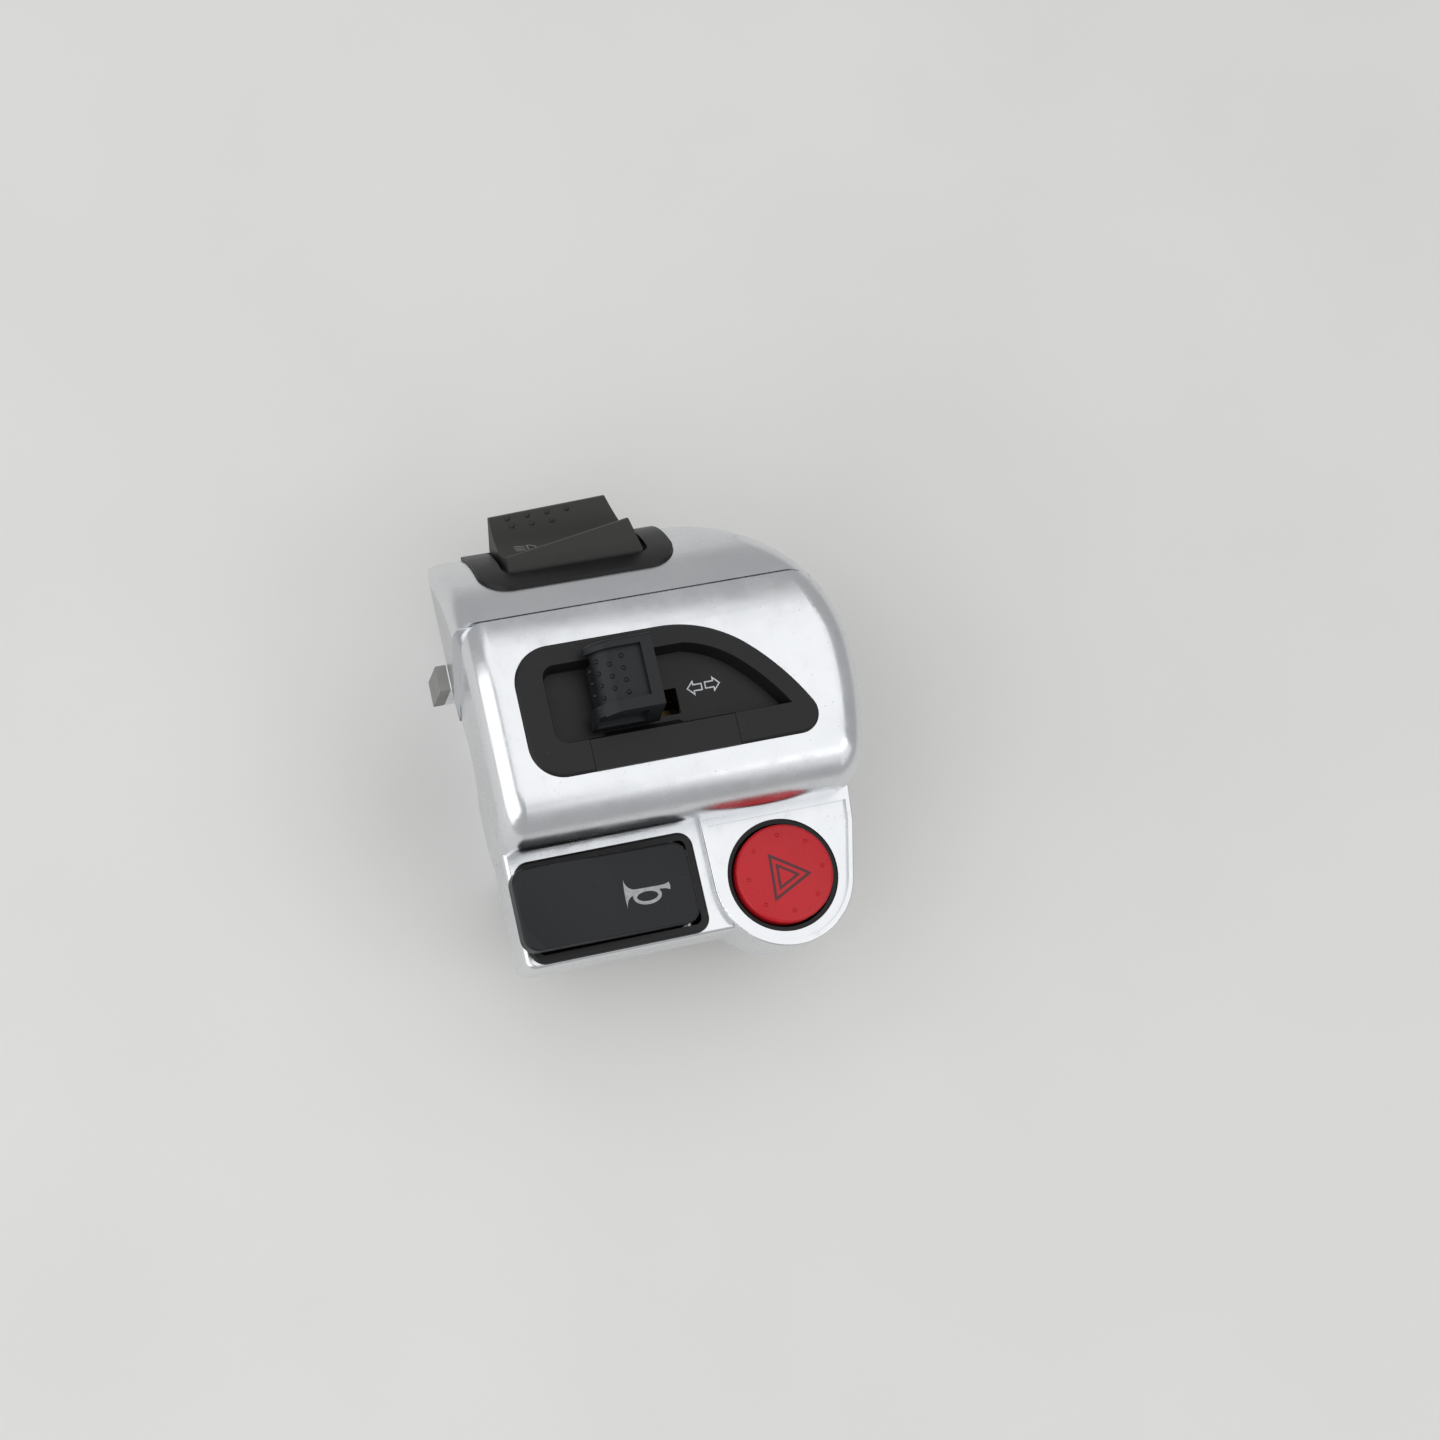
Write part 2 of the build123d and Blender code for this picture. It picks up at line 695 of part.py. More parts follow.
def frame_outline(height, inset):
    """Rounded outline of the horn frame, moved inwards."""
    with BuildSketch(Plane.XY.offset(height)) as outline:
        with Locations(((horn_frame_left_x + horn_frame_right_x) / 2, horn_centre_y)):
            RectangleRounded(horn_frame_right_x - horn_frame_left_x - 2 * inset,
                             horn_frame_depth - 2 * inset, horn_frame_corner - inset)
    return outline.sketch


# Frame that is let into the lower block round the horn button
with BuildPart() as horn_frame:
    extrude(frame_outline(frame_seat, 0), amount=frame_top - frame_seat)
    fillet(horn_frame.faces().sort_by(Axis.Z)[-1].edges(), horn_edge_radius)
    extrude(frame_outline(frame_bottom, horn_neck_inset), amount=frame_seat - frame_bottom)
    extrude(frame_outline(frame_bottom, horn_frame_rim), amount=frame_top - frame_bottom, mode=Mode.SUBTRACT)
    with BuildSketch(Plane.XZ.offset(-horn_centre_y)):
        with Locations((horn_hinge_x, hinge_z)):
            Circle(horn_hinge_radius + pin_gap)
    extrude(amount=horn_frame_depth / 2, both=True, mode=Mode.SUBTRACT)

# Horn button: a plate that rises outboard, its skirt and the hub round the hinge pin
with BuildPart() as horn_button:
    button_left = horn_right_reach - horn_length
    with BuildSketch(button_plane.offset(horn_under)):
        with Locations(((button_left + horn_right_reach) / 2, 0)):
            RectangleRounded(horn_length, horn_depth, horn_corner)
    extrude(amount=horn_thickness)
    plate_axis = Axis(button_plane.origin, button_plane.z_dir)
    fillet(horn_button.faces().sort_by(plate_axis)[-1].edges(), horn_edge_radius)
    dish_bowl = (dish_radius ** 2 + dish_depth ** 2) / (2 * dish_depth)
    with Locations(button_plane.offset(horn_under + horn_thickness + dish_bowl - dish_depth)):
        with Locations((button_left + dish_from_end, 0)):
            Sphere(dish_bowl, mode=Mode.SUBTRACT)
    with BuildSketch(button_plane.offset(-horn_skirt_drop)):
        with BuildLine():
            skirt_y = horn_depth / 2 - horn_skirt_inset
            Polyline((-horn_skirt_left, -skirt_y), (horn_skirt_right, -skirt_y),
                     (horn_skirt_right, skirt_y), (-horn_skirt_left, skirt_y), close=True)
        make_face()
    extrude(amount=horn_skirt_drop + horn_under)
    with BuildSketch(Plane.XZ.offset(-horn_centre_y)):
        with Locations((horn_hinge_x, hinge_z)):
            Circle(horn_hub_radius)
    extrude(amount=skirt_y, both=True)
    with BuildSketch(Plane.XZ.offset(-horn_centre_y)):
        with Locations((horn_hinge_x, hinge_z)):
            Circle(horn_hinge_radius + pin_gap)
    extrude(amount=horn_depth, both=True, mode=Mode.SUBTRACT)

with BuildPart() as horn_hinge_pin:
    with BuildSketch(Plane.XZ.offset(-horn_centre_y)):
        with Locations((horn_hinge_x, hinge_z)):
            Circle(horn_hinge_radius)
    extrude(amount=horn_frame_depth / 2 - horn_neck_inset, both=True)

# Plunger under the horn button, with its contact disc and its spring
with BuildPart() as horn_plunger:
    with BuildSketch(Plane.XY.offset(flange_top - horn_flange_height)):
        with Locations((horn_plunger_x, horn_centre_y)):
            Circle(horn_flange_radius)
    extrude(amount=horn_flange_height)
    with BuildSketch(Plane.XY.offset(flange_top)):
        with Locations((horn_plunger_x, horn_centre_y)):
            Circle(horn_plunger_radius)
    extrude(amount=plunger_top - flange_top)
    fillet(horn_plunger.faces().sort_by(Axis.Z)[-1].edges(), horn_plunger_radius / 2)

with BuildPart() as horn_contact_disc:
    with BuildSketch(Plane.XY.offset(disc_bottom)):
        with Locations((horn_plunger_x, horn_centre_y)):
            Circle(horn_disc_radius)
    extrude(amount=horn_disc_thickness)

with BuildPart() as horn_spring:
    add(coil((horn_plunger_x, horn_centre_y, horn_body_floor + horn_body_wall), (0, 0, 1),
             disc_bottom - horn_body_floor - horn_body_wall, horn_spring_radius, horn_spring_wire,
             horn_spring_turns))

# Body that closes the underside of the horn frame and guides the plunger
with BuildPart() as horn_switch_body:
    extrude(frame_outline(horn_body_top - horn_body_wall, horn_neck_inset), amount=horn_body_wall)
    with BuildSketch(Plane.XY.offset(horn_body_floor)):
        with Locations((horn_plunger_x, horn_centre_y)):
            Rectangle(horn_body_length, horn_body_depth)
    extrude(amount=horn_body_height - horn_body_wall)
    with BuildSketch(Plane.XY.offset(horn_body_floor + horn_body_wall)):
        with Locations((horn_plunger_x, horn_centre_y)):
            Rectangle(horn_body_length - 2 * horn_body_wall, horn_body_depth - 2 * horn_body_wall)
    extrude(amount=horn_body_height - 2 * horn_body_wall, mode=Mode.SUBTRACT)
    with BuildSketch(Plane.XY.offset(horn_body_top)):
        with Locations((horn_plunger_x, horn_centre_y)):
            Circle(horn_plunger_radius + slide_gap / 2)
    extrude(amount=-horn_body_wall, mode=Mode.SUBTRACT)
    with BuildSketch(Plane.XY.offset(horn_body_floor)):
        with Locations((horn_plunger_x, horn_centre_y)):
            with GridLocations(2 * horn_spring_radius + 4 * contact_post_radius, 0, 2, 1):
                Circle(contact_post_radius + pin_gap)
    extrude(amount=horn_body_wall, mode=Mode.SUBTRACT)

with BuildPart() as horn_contacts:
    with BuildSketch(Plane.XY.offset(horn_body_floor - contact_tail)):
        with Locations((horn_plunger_x, horn_centre_y)):
            with GridLocations(2 * horn_spring_radius + 4 * contact_post_radius, 0, 2, 1):
                Circle(contact_post_radius)
    extrude(amount=post_top - horn_body_floor + contact_tail)

collar_top = boss_top - collar_sink
collar_inner = hazard_hole_radius - pin_gap - collar_wall
shoulder_top = boss_top - wall
cap_top = boss_top + hazard_cap_proud
dome_radius = (hazard_cap_radius ** 2 + hazard_dome_rise ** 2) / (2 * hazard_dome_rise)
plate_bottom = collar_bottom - hazard_plate_height
roof_bottom = cap_top - hazard_cap_roof
hazard_floor = hazard_body_bottom + hazard_body_wall
hazard_disc_bottom = hazard_stem_bottom
hazard_post_top = hazard_disc_bottom - hazard_travel - horn_contact_gap
hazard_post_pitch = 2 * (hazard_disc_radius - 2 * contact_post_radius)


def hazard_disc(height, radius, thickness):
    """Round slab on the hazard switch's axis."""
    with BuildPart(mode=Mode.PRIVATE) as slab:
        with BuildSketch(Plane.XY.offset(height)):
            with Locations((hazard_x, hazard_y)):
                Circle(radius)
        extrude(amount=thickness)
    return slab.part


# Black collar that lines the hazard switch's well
with BuildPart() as hazard_collar:
    add(hazard_disc(collar_bottom, hazard_hole_radius - pin_gap, collar_top - collar_bottom))
    add(hazard_disc(shoulder_top - collar_shoulder_height, hazard_hole_radius + collar_shoulder,
                    collar_shoulder_height))
    add(hazard_disc(collar_bottom, collar_inner, collar_top - collar_bottom), mode=Mode.SUBTRACT)

# Domed hazard button with raised dots and a stem
with BuildPart() as hazard_button:
    add(hazard_disc(hazard_cap_skirt, hazard_cap_radius, cap_top + hazard_dome_rise - hazard_cap_skirt))
    with Locations((hazard_x, hazard_y, cap_top + hazard_dome_rise - dome_radius)):
        Sphere(dome_radius, mode=Mode.INTERSECT)
    rim_edges = hazard_button.edges().filter_by(GeomType.CIRCLE).filter_by(lambda edge: edge.is_closed)
    fillet(rim_edges.sort_by(Axis.Z)[-1], hazard_edge_radius)
    add(hazard_disc(hazard_cap_skirt, hazard_cap_radius - hazard_cap_wall, roof_bottom - hazard_cap_skirt),
        mode=Mode.SUBTRACT)
    add(hazard_disc(hazard_stem_bottom, hazard_stem_radius, roof_bottom - hazard_stem_bottom))
    dot_z = cap_top + hazard_dome_rise - dome_radius + sqrt(dome_radius ** 2 - hazard_dot_ring ** 2)
    with Locations((hazard_x, hazard_y, dot_z)):
        with PolarLocations(hazard_dot_ring, hazard_dot_count):
            Sphere(hazard_dot_radius)

with BuildPart() as hazard_spring:
    add(coil((hazard_x, hazard_y, collar_bottom), (0, 0, 1), roof_bottom - collar_bottom,
             hazard_spring_radius, hazard_spring_wire, hazard_spring_turns))

with BuildPart() as hazard_contact_disc:
    add(hazard_disc(hazard_disc_bottom - hazard_disc_thickness, hazard_disc_radius, hazard_disc_thickness))

# Body under the collar, and the posts that the contact disc meets
with BuildPart() as hazard_switch_body:
    add(hazard_disc(plate_bottom, hazard_hole_radius - pin_gap, hazard_plate_height))
    add(hazard_disc(hazard_body_bottom, hazard_body_radius, plate_bottom - hazard_body_bottom))
    add(hazard_disc(hazard_floor, hazard_body_radius - hazard_body_wall, plate_bottom - hazard_floor),
        mode=Mode.SUBTRACT)
    add(hazard_disc(plate_bottom, hazard_stem_radius + slide_gap / 2, hazard_plate_height),
        mode=Mode.SUBTRACT)
    with BuildSketch(Plane.XY.offset(hazard_body_bottom)):
        with Locations((hazard_x, hazard_y)):
            with GridLocations(hazard_post_pitch, 0, 2, 1):
                Circle(contact_post_radius + pin_gap)
    extrude(amount=hazard_body_wall, mode=Mode.SUBTRACT)

with BuildPart() as hazard_contacts:
    with BuildSketch(Plane.XY.offset(hazard_body_bottom - contact_tail / 2)):
        with Locations((hazard_x, hazard_y)):
            with GridLocations(hazard_post_pitch, 0, 2, 1):
                Circle(contact_post_radius)
    extrude(amount=hazard_post_top - hazard_disc_thickness - hazard_body_bottom + contact_tail / 2)

beam_face_turn = radians(beam_face_angle)
beam_out = Vector(0, sin(beam_face_turn), cos(beam_face_turn))
beam_centre = Vector(beam_x, roll_centre_y, roll_centre_z) + beam_out * roll_radius
beam_plane = Plane(origin=beam_centre, x_dir=(1, 0, 0), z_dir=beam_out)
roll_plane = Plane(origin=(0, roll_centre_y, roll_centre_z), x_dir=(0, 1, 0), z_dir=(1, 0, 0))
beam_far_y = beam_depth / 2 - beam_side_lean
seesaw_top = seesaw_height + seesaw_thickness
seesaw_axis = seesaw_height - seesaw_pin_radius
seesaw_drop = seesaw_length / 2 * sin(radians(beam_tilt_angle) * seesaw_share)
contact_top = seesaw_height - seesaw_drop - beam_tail_gap
plunger_head = seesaw_top + beam_plunger_length
leg_hole_top = beam_pivot_height - beam_pivot_radius - beam_plunger_drop
tail_places = [((tail - (beam_tail_count - 1) / 2) * beam_tail_pitch, (tail % 2 * 2 - 1) * beam_tail_offset)
               for tail in range(beam_tail_count)]


def roll_ring(inner, outer):
    """Ring round the axis of the rounded front, over the width of the beam bezel."""
    with BuildPart(mode=Mode.PRIVATE) as ring:
        with BuildSketch(roll_plane.offset(beam_x)):
            Circle(outer)
            Circle(inner, mode=Mode.SUBTRACT)
        extrude(amount=beam_bezel_width, both=True)
    return ring.part


def beam_slab(low, high, width, y_low, y_high, corner):
    """Slab along the beam switch's axis, between two heights, with rounded corners."""
    with BuildPart(mode=Mode.PRIVATE) as slab:
        with BuildSketch(beam_plane.offset(low)):
            with Locations((0, (y_low + y_high) / 2)):
                RectangleRounded(width, y_high - y_low, corner)
        extrude(amount=high - low)
    return slab.part


def beam_bezel_plate(gap):
    """Curved plate of the beam bezel, widened by a gap."""
    with BuildPart(mode=Mode.PRIVATE) as plate:
        add(beam_slab(beam_body_bottom, roll_radius, beam_bezel_width + 2 * gap,
                      -beam_bezel_low - gap, beam_bezel_high + gap, beam_bezel_corner + gap))
        add(roll_ring(roll_radius - beam_bezel_seat - gap, roll_radius + beam_bezel_rise), mode=Mode.INTERSECT)
    return plate.part


def beam_opening(low, high, margin):
    """Opening for the beam rocker, or its neck when widened by a margin."""
    return beam_slab(low, high, beam_opening_width + 2 * margin, -beam_opening_depth / 2 - margin,
                     beam_opening_depth / 2 + margin, beam_opening_radius + margin)


def beam_rod(height, radius, length):
    """Round rod along X on the beam switch's plane of symmetry."""
    with BuildPart(mode=Mode.PRIVATE) as rod:
        with BuildSketch(Plane(origin=beam_centre + beam_out * height, x_dir=(0, 1, 0), z_dir=(1, 0, 0))):
            Circle(radius)
        extrude(amount=length / 2, both=True)
    return rod.part


# Curved bezel with a neck that carries the rocker's pin
with BuildPart() as beam_bezel:
    add(beam_bezel_plate(0))
    add(beam_opening(beam_neck_bottom, 0, beam_neck_wall))
    add(roll_ring(roll_radius + beam_bezel_rise, 2 * roll_radius), mode=Mode.SUBTRACT)
    add(beam_opening(beam_neck_bottom, roll_radius, 0), mode=Mode.SUBTRACT)
    add(beam_rod(beam_pivot_height, beam_pivot_radius + pin_gap, beam_opening_width + beam_neck_wall),
        mode=Mode.SUBTRACT)

with BuildPart() as beam_pivot_pin:
    add(beam_rod(beam_pivot_height, beam_pivot_radius, beam_opening_width + beam_neck_wall))


def saddle_points(share):
    """Three points of the rocker's saddle, at a share of its width from the outboard end."""
    far_rise = far_left_rise + (far_right_rise - far_left_rise) * share
    near_rise = near_left_rise + (near_right_rise - near_left_rise) * share
    return [(beam_far_y - ridge_width, far_rise), (0, valley_rise), (ridge_width - beam_far_y, near_rise)]


def rocker_section(share):
    """Outline of the rocker across its pivot, at a share of its width."""
    origin = beam_centre + Vector((share - 1 / 2) * beam_width, 0, 0)
    far_rise = saddle_points(share)[0][1]
    near_rise = saddle_points(share)[2][1]
    with BuildSketch(Plane(origin=origin, x_dir=beam_plane.y_dir, z_dir=(1, 0, 0))) as section:
        with BuildLine():
            saddle = ThreePointArc(*saddle_points(share))
            Polyline(saddle @ 1, (-beam_far_y, near_rise), (-beam_depth / 2, beam_skirt_bottom),
                     (beam_depth / 2, beam_skirt_bottom), (beam_far_y, far_rise), saddle @ 0)
        make_face()
    return section.sketch


def saddle_place(x, y):
    """Point on the rocker's saddle."""
    saddle = ThreePointArc(*saddle_points(x / beam_width + 1 / 2))
    centre = saddle.arc_center
    rise = centre.Y - sqrt(saddle.radius ** 2 - (y - centre.X) ** 2)
    return beam_centre + Vector(x, 0, 0) + beam_plane.y_dir * y + beam_out * rise


# Rocker: a saddle whose far wing is high and whose near ridge climbs inboard
with BuildPart() as beam_rocker:
    loft([rocker_section(0), rocker_section(1)])
    for side, lean in ((1, beam_end_angle), (-1, beam_outer_angle)):
        outward = Vector(side * cos(radians(lean)), 0, 0) + beam_out * sin(radians(lean))
        split(bisect_by=Plane(origin=beam_centre + Vector(side * beam_width / 2, 0, 0),
                              x_dir=beam_plane.y_dir, z_dir=outward), keep=Keep.BOTTOM)
    add(beam_rod(beam_pivot_height, beam_hub_radius, beam_width))
    with BuildSketch(beam_plane.offset(leg_bottom)):
        Circle(leg_radius)
    extrude(amount=beam_skirt_bottom - leg_bottom)
    add(beam_rod(beam_pivot_height, beam_pivot_radius + pin_gap, beam_opening_width), mode=Mode.SUBTRACT)
    with BuildSketch(beam_plane.offset(leg_bottom)):
        Circle(beam_plunger_radius + pin_gap)
    extrude(amount=leg_hole_top - leg_bottom, mode=Mode.SUBTRACT)
    for column in range(beam_dot_columns):
        dot_x = beam_dot_first_x + column * beam_dot_pitch
        with Locations(saddle_place(dot_x, beam_dot_far_y)):
            Sphere(beam_dot_radius)
        if column < beam_dot_columns - 1:
            with Locations(saddle_place(dot_x + beam_dot_shift, beam_dot_near_y)):
                Sphere(beam_dot_radius)

# Sprung plunger in the rocker's leg, which tips the contact plate over
with BuildPart() as beam_plunger:
    with BuildSketch(beam_plane.offset(seesaw_top)):
        Circle(beam_plunger_radius)
    extrude(amount=beam_plunger_length)
    fillet(beam_plunger.edges().filter_by(GeomType.CIRCLE).sort_by(Axis(beam_centre, beam_out))[0],
           beam_plunger_radius - pin_gap)

with BuildPart() as beam_spring:
    add(coil(beam_centre + beam_out * plunger_head, beam_out, leg_hole_top - plunger_head,
             beam_spring_radius, beam_spring_wire, beam_spring_turns))

with BuildPart() as beam_contact_plate:
    add(beam_slab(seesaw_height, seesaw_top, seesaw_width, -seesaw_length / 2, seesaw_length / 2,
                  seesaw_thickness))
    add(beam_rod(seesaw_axis, seesaw_hub_radius, seesaw_width))
    with BuildSketch(beam_plane.offset(seesaw_top)):
        Rectangle(seesaw_width, seesaw_length)
    extrude(amount=seesaw_hub_radius, mode=Mode.SUBTRACT)
    add(beam_rod(seesaw_axis, seesaw_pin_radius + pin_gap, seesaw_width), mode=Mode.SUBTRACT)

with BuildPart() as beam_contact_pin:
    add(beam_rod(seesaw_axis, seesaw_pin_radius, beam_body_length - beam_body_wall))

# Body that closes the bezel's neck and holds the contact plate and its four contacts
with BuildPart() as beam_switch_body:
    add(beam_opening(beam_neck_bottom - beam_flange, beam_neck_bottom, beam_neck_wall))
    add(beam_slab(beam_body_bottom, beam_neck_bottom, beam_body_length, -beam_body_depth / 2,
                  beam_body_depth / 2, beam_body_wall))
    add(beam_slab(beam_body_bottom + beam_body_wall, beam_neck_bottom, beam_body_length - 2 * beam_body_wall,
                  beam_body_wall - beam_body_depth / 2, beam_body_depth / 2 - beam_body_wall,
                  beam_body_wall / 2), mode=Mode.SUBTRACT)
    add(beam_rod(seesaw_axis, seesaw_pin_radius + pin_gap, beam_body_length - beam_body_wall),
        mode=Mode.SUBTRACT)
    with BuildSketch(beam_plane.offset(beam_body_bottom)):
        with Locations(*tail_places):
            Rectangle(beam_tail_width, beam_tail_thickness)
    extrude(amount=beam_body_wall, mode=Mode.SUBTRACT)

with BuildPart() as beam_contacts:
    with BuildSketch(beam_plane.offset(beam_body_bottom - beam_tail)):
        with Locations(*tail_places):
            Rectangle(beam_tail_width, beam_tail_thickness)
    extrude(amount=contact_top - beam_body_bottom + beam_tail)
boss_bulge_x = inboard_reach - boss_bulge_inset
boss_root_x = inboard_reach - boss_root_inset
screw_top_x = inboard_reach - screw_top_inset
screw_back_offset = bore_radius + screw_bar_distance
grommet_pad_x = inboard_reach - grommet_pad_inset
grommet_pad_root = grommet_pad_x - grommet_pad_length
boss_reach = hypot(boss_bulge_x - hazard_x, boss_bulge_y - hazard_y)
boss_turn = atan2(boss_bulge_y - hazard_y, boss_bulge_x - hazard_x) - acos(boss_radius / boss_reach)
root_y = block_root - rear_reach


def boss_plan():
    """Outline of the boss round the hazard switch, closed inside the housing."""
    with BuildSketch(mode=Mode.PRIVATE) as plan:
        with BuildLine():
            round_end = CenterArc((hazard_x, hazard_y), boss_radius, 180, 180 + degrees(boss_turn))
            Polyline(round_end @ 1, (boss_bulge_x, boss_bulge_y), (boss_root_x, boss_root_y),
                     (boss_root_x, root_y), (hazard_x - boss_radius, root_y), round_end @ 0)
        make_face()
    return plan.sketch


def block_plan():
    """Outline of the lower block under the horn switch, closed inside the housing."""
    with BuildSketch(mode=Mode.PRIVATE) as plan:
        with BuildLine():
            Polyline((-block_outboard, -block_reach), (hazard_x, -block_reach), (hazard_x, root_y),
                     (-block_outboard, root_y), close=True)
        make_face()
        fillet(plan.vertices().group_by(Axis.Y)[0].sort_by(Axis.X)[0], block_corner_radius)
    return plan.sketch


def lower_block(inset, boss_z):
    """Closed form of the lower block, moved inwards, tapered below its skirt and rounded at its top."""
    with BuildPart(mode=Mode.PRIVATE) as form:
        for plan, top_z, edge_radius in ((block_plan(), block_top - inset, block_edge_radius),
                                         (boss_plan(), boss_z, rim_edge_radius)):
            with BuildSketch(Plane.XY.offset(block_skirt)) as level:
                add(plan)
                if inset > 0:
                    offset(amount=-inset)
            extrude(amount=top_z - block_skirt)
            fillet(form.faces().sort_by(Axis.Z)[-1].edges(), edge_radius)
            extrude(level.sketch, amount=block_floor + inset - block_skirt, taper=block_taper_angle)
        split(bisect_by=underside_plane(inset), keep=Keep.BOTTOM)
    return form.part


def boss_plate():
    """Space over the sunk plate of the boss, inside its raised rim."""
    with BuildPart(mode=Mode.PRIVATE) as space:
        with BuildSketch(Plane.XY.offset(boss_top)):
            add(boss_plan())
            with Locations((0, -rear_reach)):
                Rectangle(2 * housing_length, 2 * housing_length, align=(Align.CENTER, Align.MAX),
                          mode=Mode.INTERSECT)
            offset(amount=-rim_width)
        extrude(amount=rim_height)
    return space.part


def parting_rod(x, offset_y, low, high, radius):
    """Rod square to the shells' joint, from below it to above it."""
    with BuildPart(mode=Mode.PRIVATE) as rod:
        with BuildSketch(parting_plane.offset(low)):
            with Locations((x, offset_y)):
                Circle(radius)
        extrude(amount=high - low)
    return rod.part


def bar_rod(radius):
    """Rod along the handlebar's axis, longer than the housing."""
    with BuildPart(mode=Mode.PRIVATE) as rod:
        with BuildSketch(Plane.YZ.offset(-outboard_reach - cut_overrun)):
            Circle(radius)
        extrude(amount=housing_length + 2 * cut_overrun)
    return rod.part


screw_places = [(screw_back_shift + side * screw_back_spread, screw_back_offset) for side in (-1, 1)]
screw_places.append((screw_top_x, -screw_top_offset))
screw_head_seat = screw_seat + screw_head_height


def seam_slab(side):
    """Groove along one side of the shells' joint."""
    with BuildPart(mode=Mode.PRIVATE) as slab:
        with BuildSketch(parting_plane):
            Rectangle(2 * housing_length, 2 * housing_length)
        extrude(amount=side * seam_width / 2)
        add(housing_form(seam_depth, seam_depth), mode=Mode.SUBTRACT)
    return slab.part


def screw_boss(side, reach):
    """Bosses of one shell for the screws, with their holes left closed."""
    with BuildPart(mode=Mode.PRIVATE) as bosses:
        for x, offset_y in screw_places:
            add(parting_rod(x, offset_y, min(0, side * reach), max(0, side * reach), screw_boss_radius))
        add(housing_form(0, 0), mode=Mode.INTERSECT)
    return bosses.part


# Rear shell: the face with the turn signal switch, and the lower block
with BuildPart() as rear_shell:
    add(rounded_housing())
    split(bisect_by=parting_plane, keep=Keep.BOTTOM)
    split(bisect_by=Plane(origin=(rear_setback - outboard_reach, 0, 0), z_dir=(-1, 0, 0)), keep=Keep.BOTTOM)
    left_edges = rear_shell.faces().sort_by(Axis.X)[0].edges()
    left_edges = left_edges.filter_by(lambda edge: edge.center().dot(parting_normal) < -seam_depth)
    upper_edges = left_edges.filter_by(lambda edge: edge.center().Z > underside_start + seam_depth)
    fillet(upper_edges, rear_edge_radius)
    add(lower_block(0, boss_top + rim_height))
    add(boss_plate(), mode=Mode.SUBTRACT)
    add(housing_form(wall, end_wall), mode=Mode.SUBTRACT)
    add(lower_block(wall, boss_top - wall), mode=Mode.SUBTRACT)
    add(screw_boss(-1, screw_grip + wall))
    add(seam_slab(-1), mode=Mode.SUBTRACT)
    add(bar_rod(bore_radius), mode=Mode.SUBTRACT)
    for x, offset_y in screw_places:
        add(parting_rod(x, offset_y, -screw_grip - seat_gap, seam_width, screw_shank_radius + seat_gap),
            mode=Mode.SUBTRACT)
    extrude(turn_outline(turn_seat, -seat_gap), amount=turn_rise + turn_seat_depth, mode=Mode.SUBTRACT)
    extrude(turn_outline(turn_neck_bottom, turn_neck_inset - seat_gap), amount=turn_neck_depth,
            mode=Mode.SUBTRACT)
    extrude(frame_outline(frame_seat, -seat_gap), amount=horn_frame_seat, mode=Mode.SUBTRACT)
    extrude(frame_outline(horn_body_top - horn_body_wall, horn_neck_inset - seat_gap),
            amount=horn_frame_drop + horn_body_wall, mode=Mode.SUBTRACT)
    add(hazard_disc(collar_bottom, hazard_hole_radius, boss_top - collar_bottom), mode=Mode.SUBTRACT)
    add(hazard_disc(shoulder_top - collar_shoulder_height - seat_gap,
                    hazard_hole_radius + collar_shoulder + seat_gap, collar_shoulder_height + seat_gap),
        mode=Mode.SUBTRACT)
    add(block(-window_reach, window_reach, window_low_y, window_high_y, window_low, window_high),
        mode=Mode.SUBTRACT)
    with BuildSketch(Plane.YZ.offset(grommet_pad_root)):
        with Locations((grommet_y, grommet_z)):
            Circle(grommet_pad_radius)
    extrude(amount=grommet_pad_x - grommet_pad_root)
    with BuildSketch(Plane.YZ.offset(grommet_pad_root)):
        with Locations((grommet_y, grommet_z)):
            Circle(grommet_neck_radius + seat_gap)
    extrude(amount=grommet_pad_x - grommet_pad_root, mode=Mode.SUBTRACT)
    with BuildSketch(Plane.YZ.offset(grommet_pad_root)):
        with Locations((grommet_y, grommet_z)):
            Circle(grommet_flange_radius + seat_gap)
    extrude(amount=-2 * grommet_flange, mode=Mode.SUBTRACT)

# Front shell: the rounded front with the beam switch, and the lug at its outboard end
with BuildPart() as front_shell:
    add(rounded_housing())
    split(bisect_by=parting_plane, keep=Keep.TOP)
    front_edges = front_shell.faces().sort_by(Axis.X)[0].edges().filter_by(GeomType.CIRCLE)
    fillet(front_edges, front_edge_radius)
    add(block(-outboard_reach - lug_reach, end_wall - outboard_reach, bore_radius,
              bore_radius + lug_thickness, lug_low, lug_high))
    add(housing_form(wall, end_wall), mode=Mode.SUBTRACT)
    add(screw_boss(1, housing_length))
    add(seam_slab(1), mode=Mode.SUBTRACT)
    add(bar_rod(bore_radius), mode=Mode.SUBTRACT)
    for x, offset_y in screw_places:
        add(parting_rod(x, offset_y, -seam_width, screw_seat + seam_width, screw_shank_radius + seat_gap),
            mode=Mode.SUBTRACT)
        add(parting_rod(x, offset_y, screw_seat, housing_length, screw_head_radius + seat_gap),
            mode=Mode.SUBTRACT)
    add(beam_bezel_plate(seat_gap), mode=Mode.SUBTRACT)
    add(beam_opening(beam_neck_bottom, roll_radius, beam_neck_wall + seat_gap), mode=Mode.SUBTRACT)

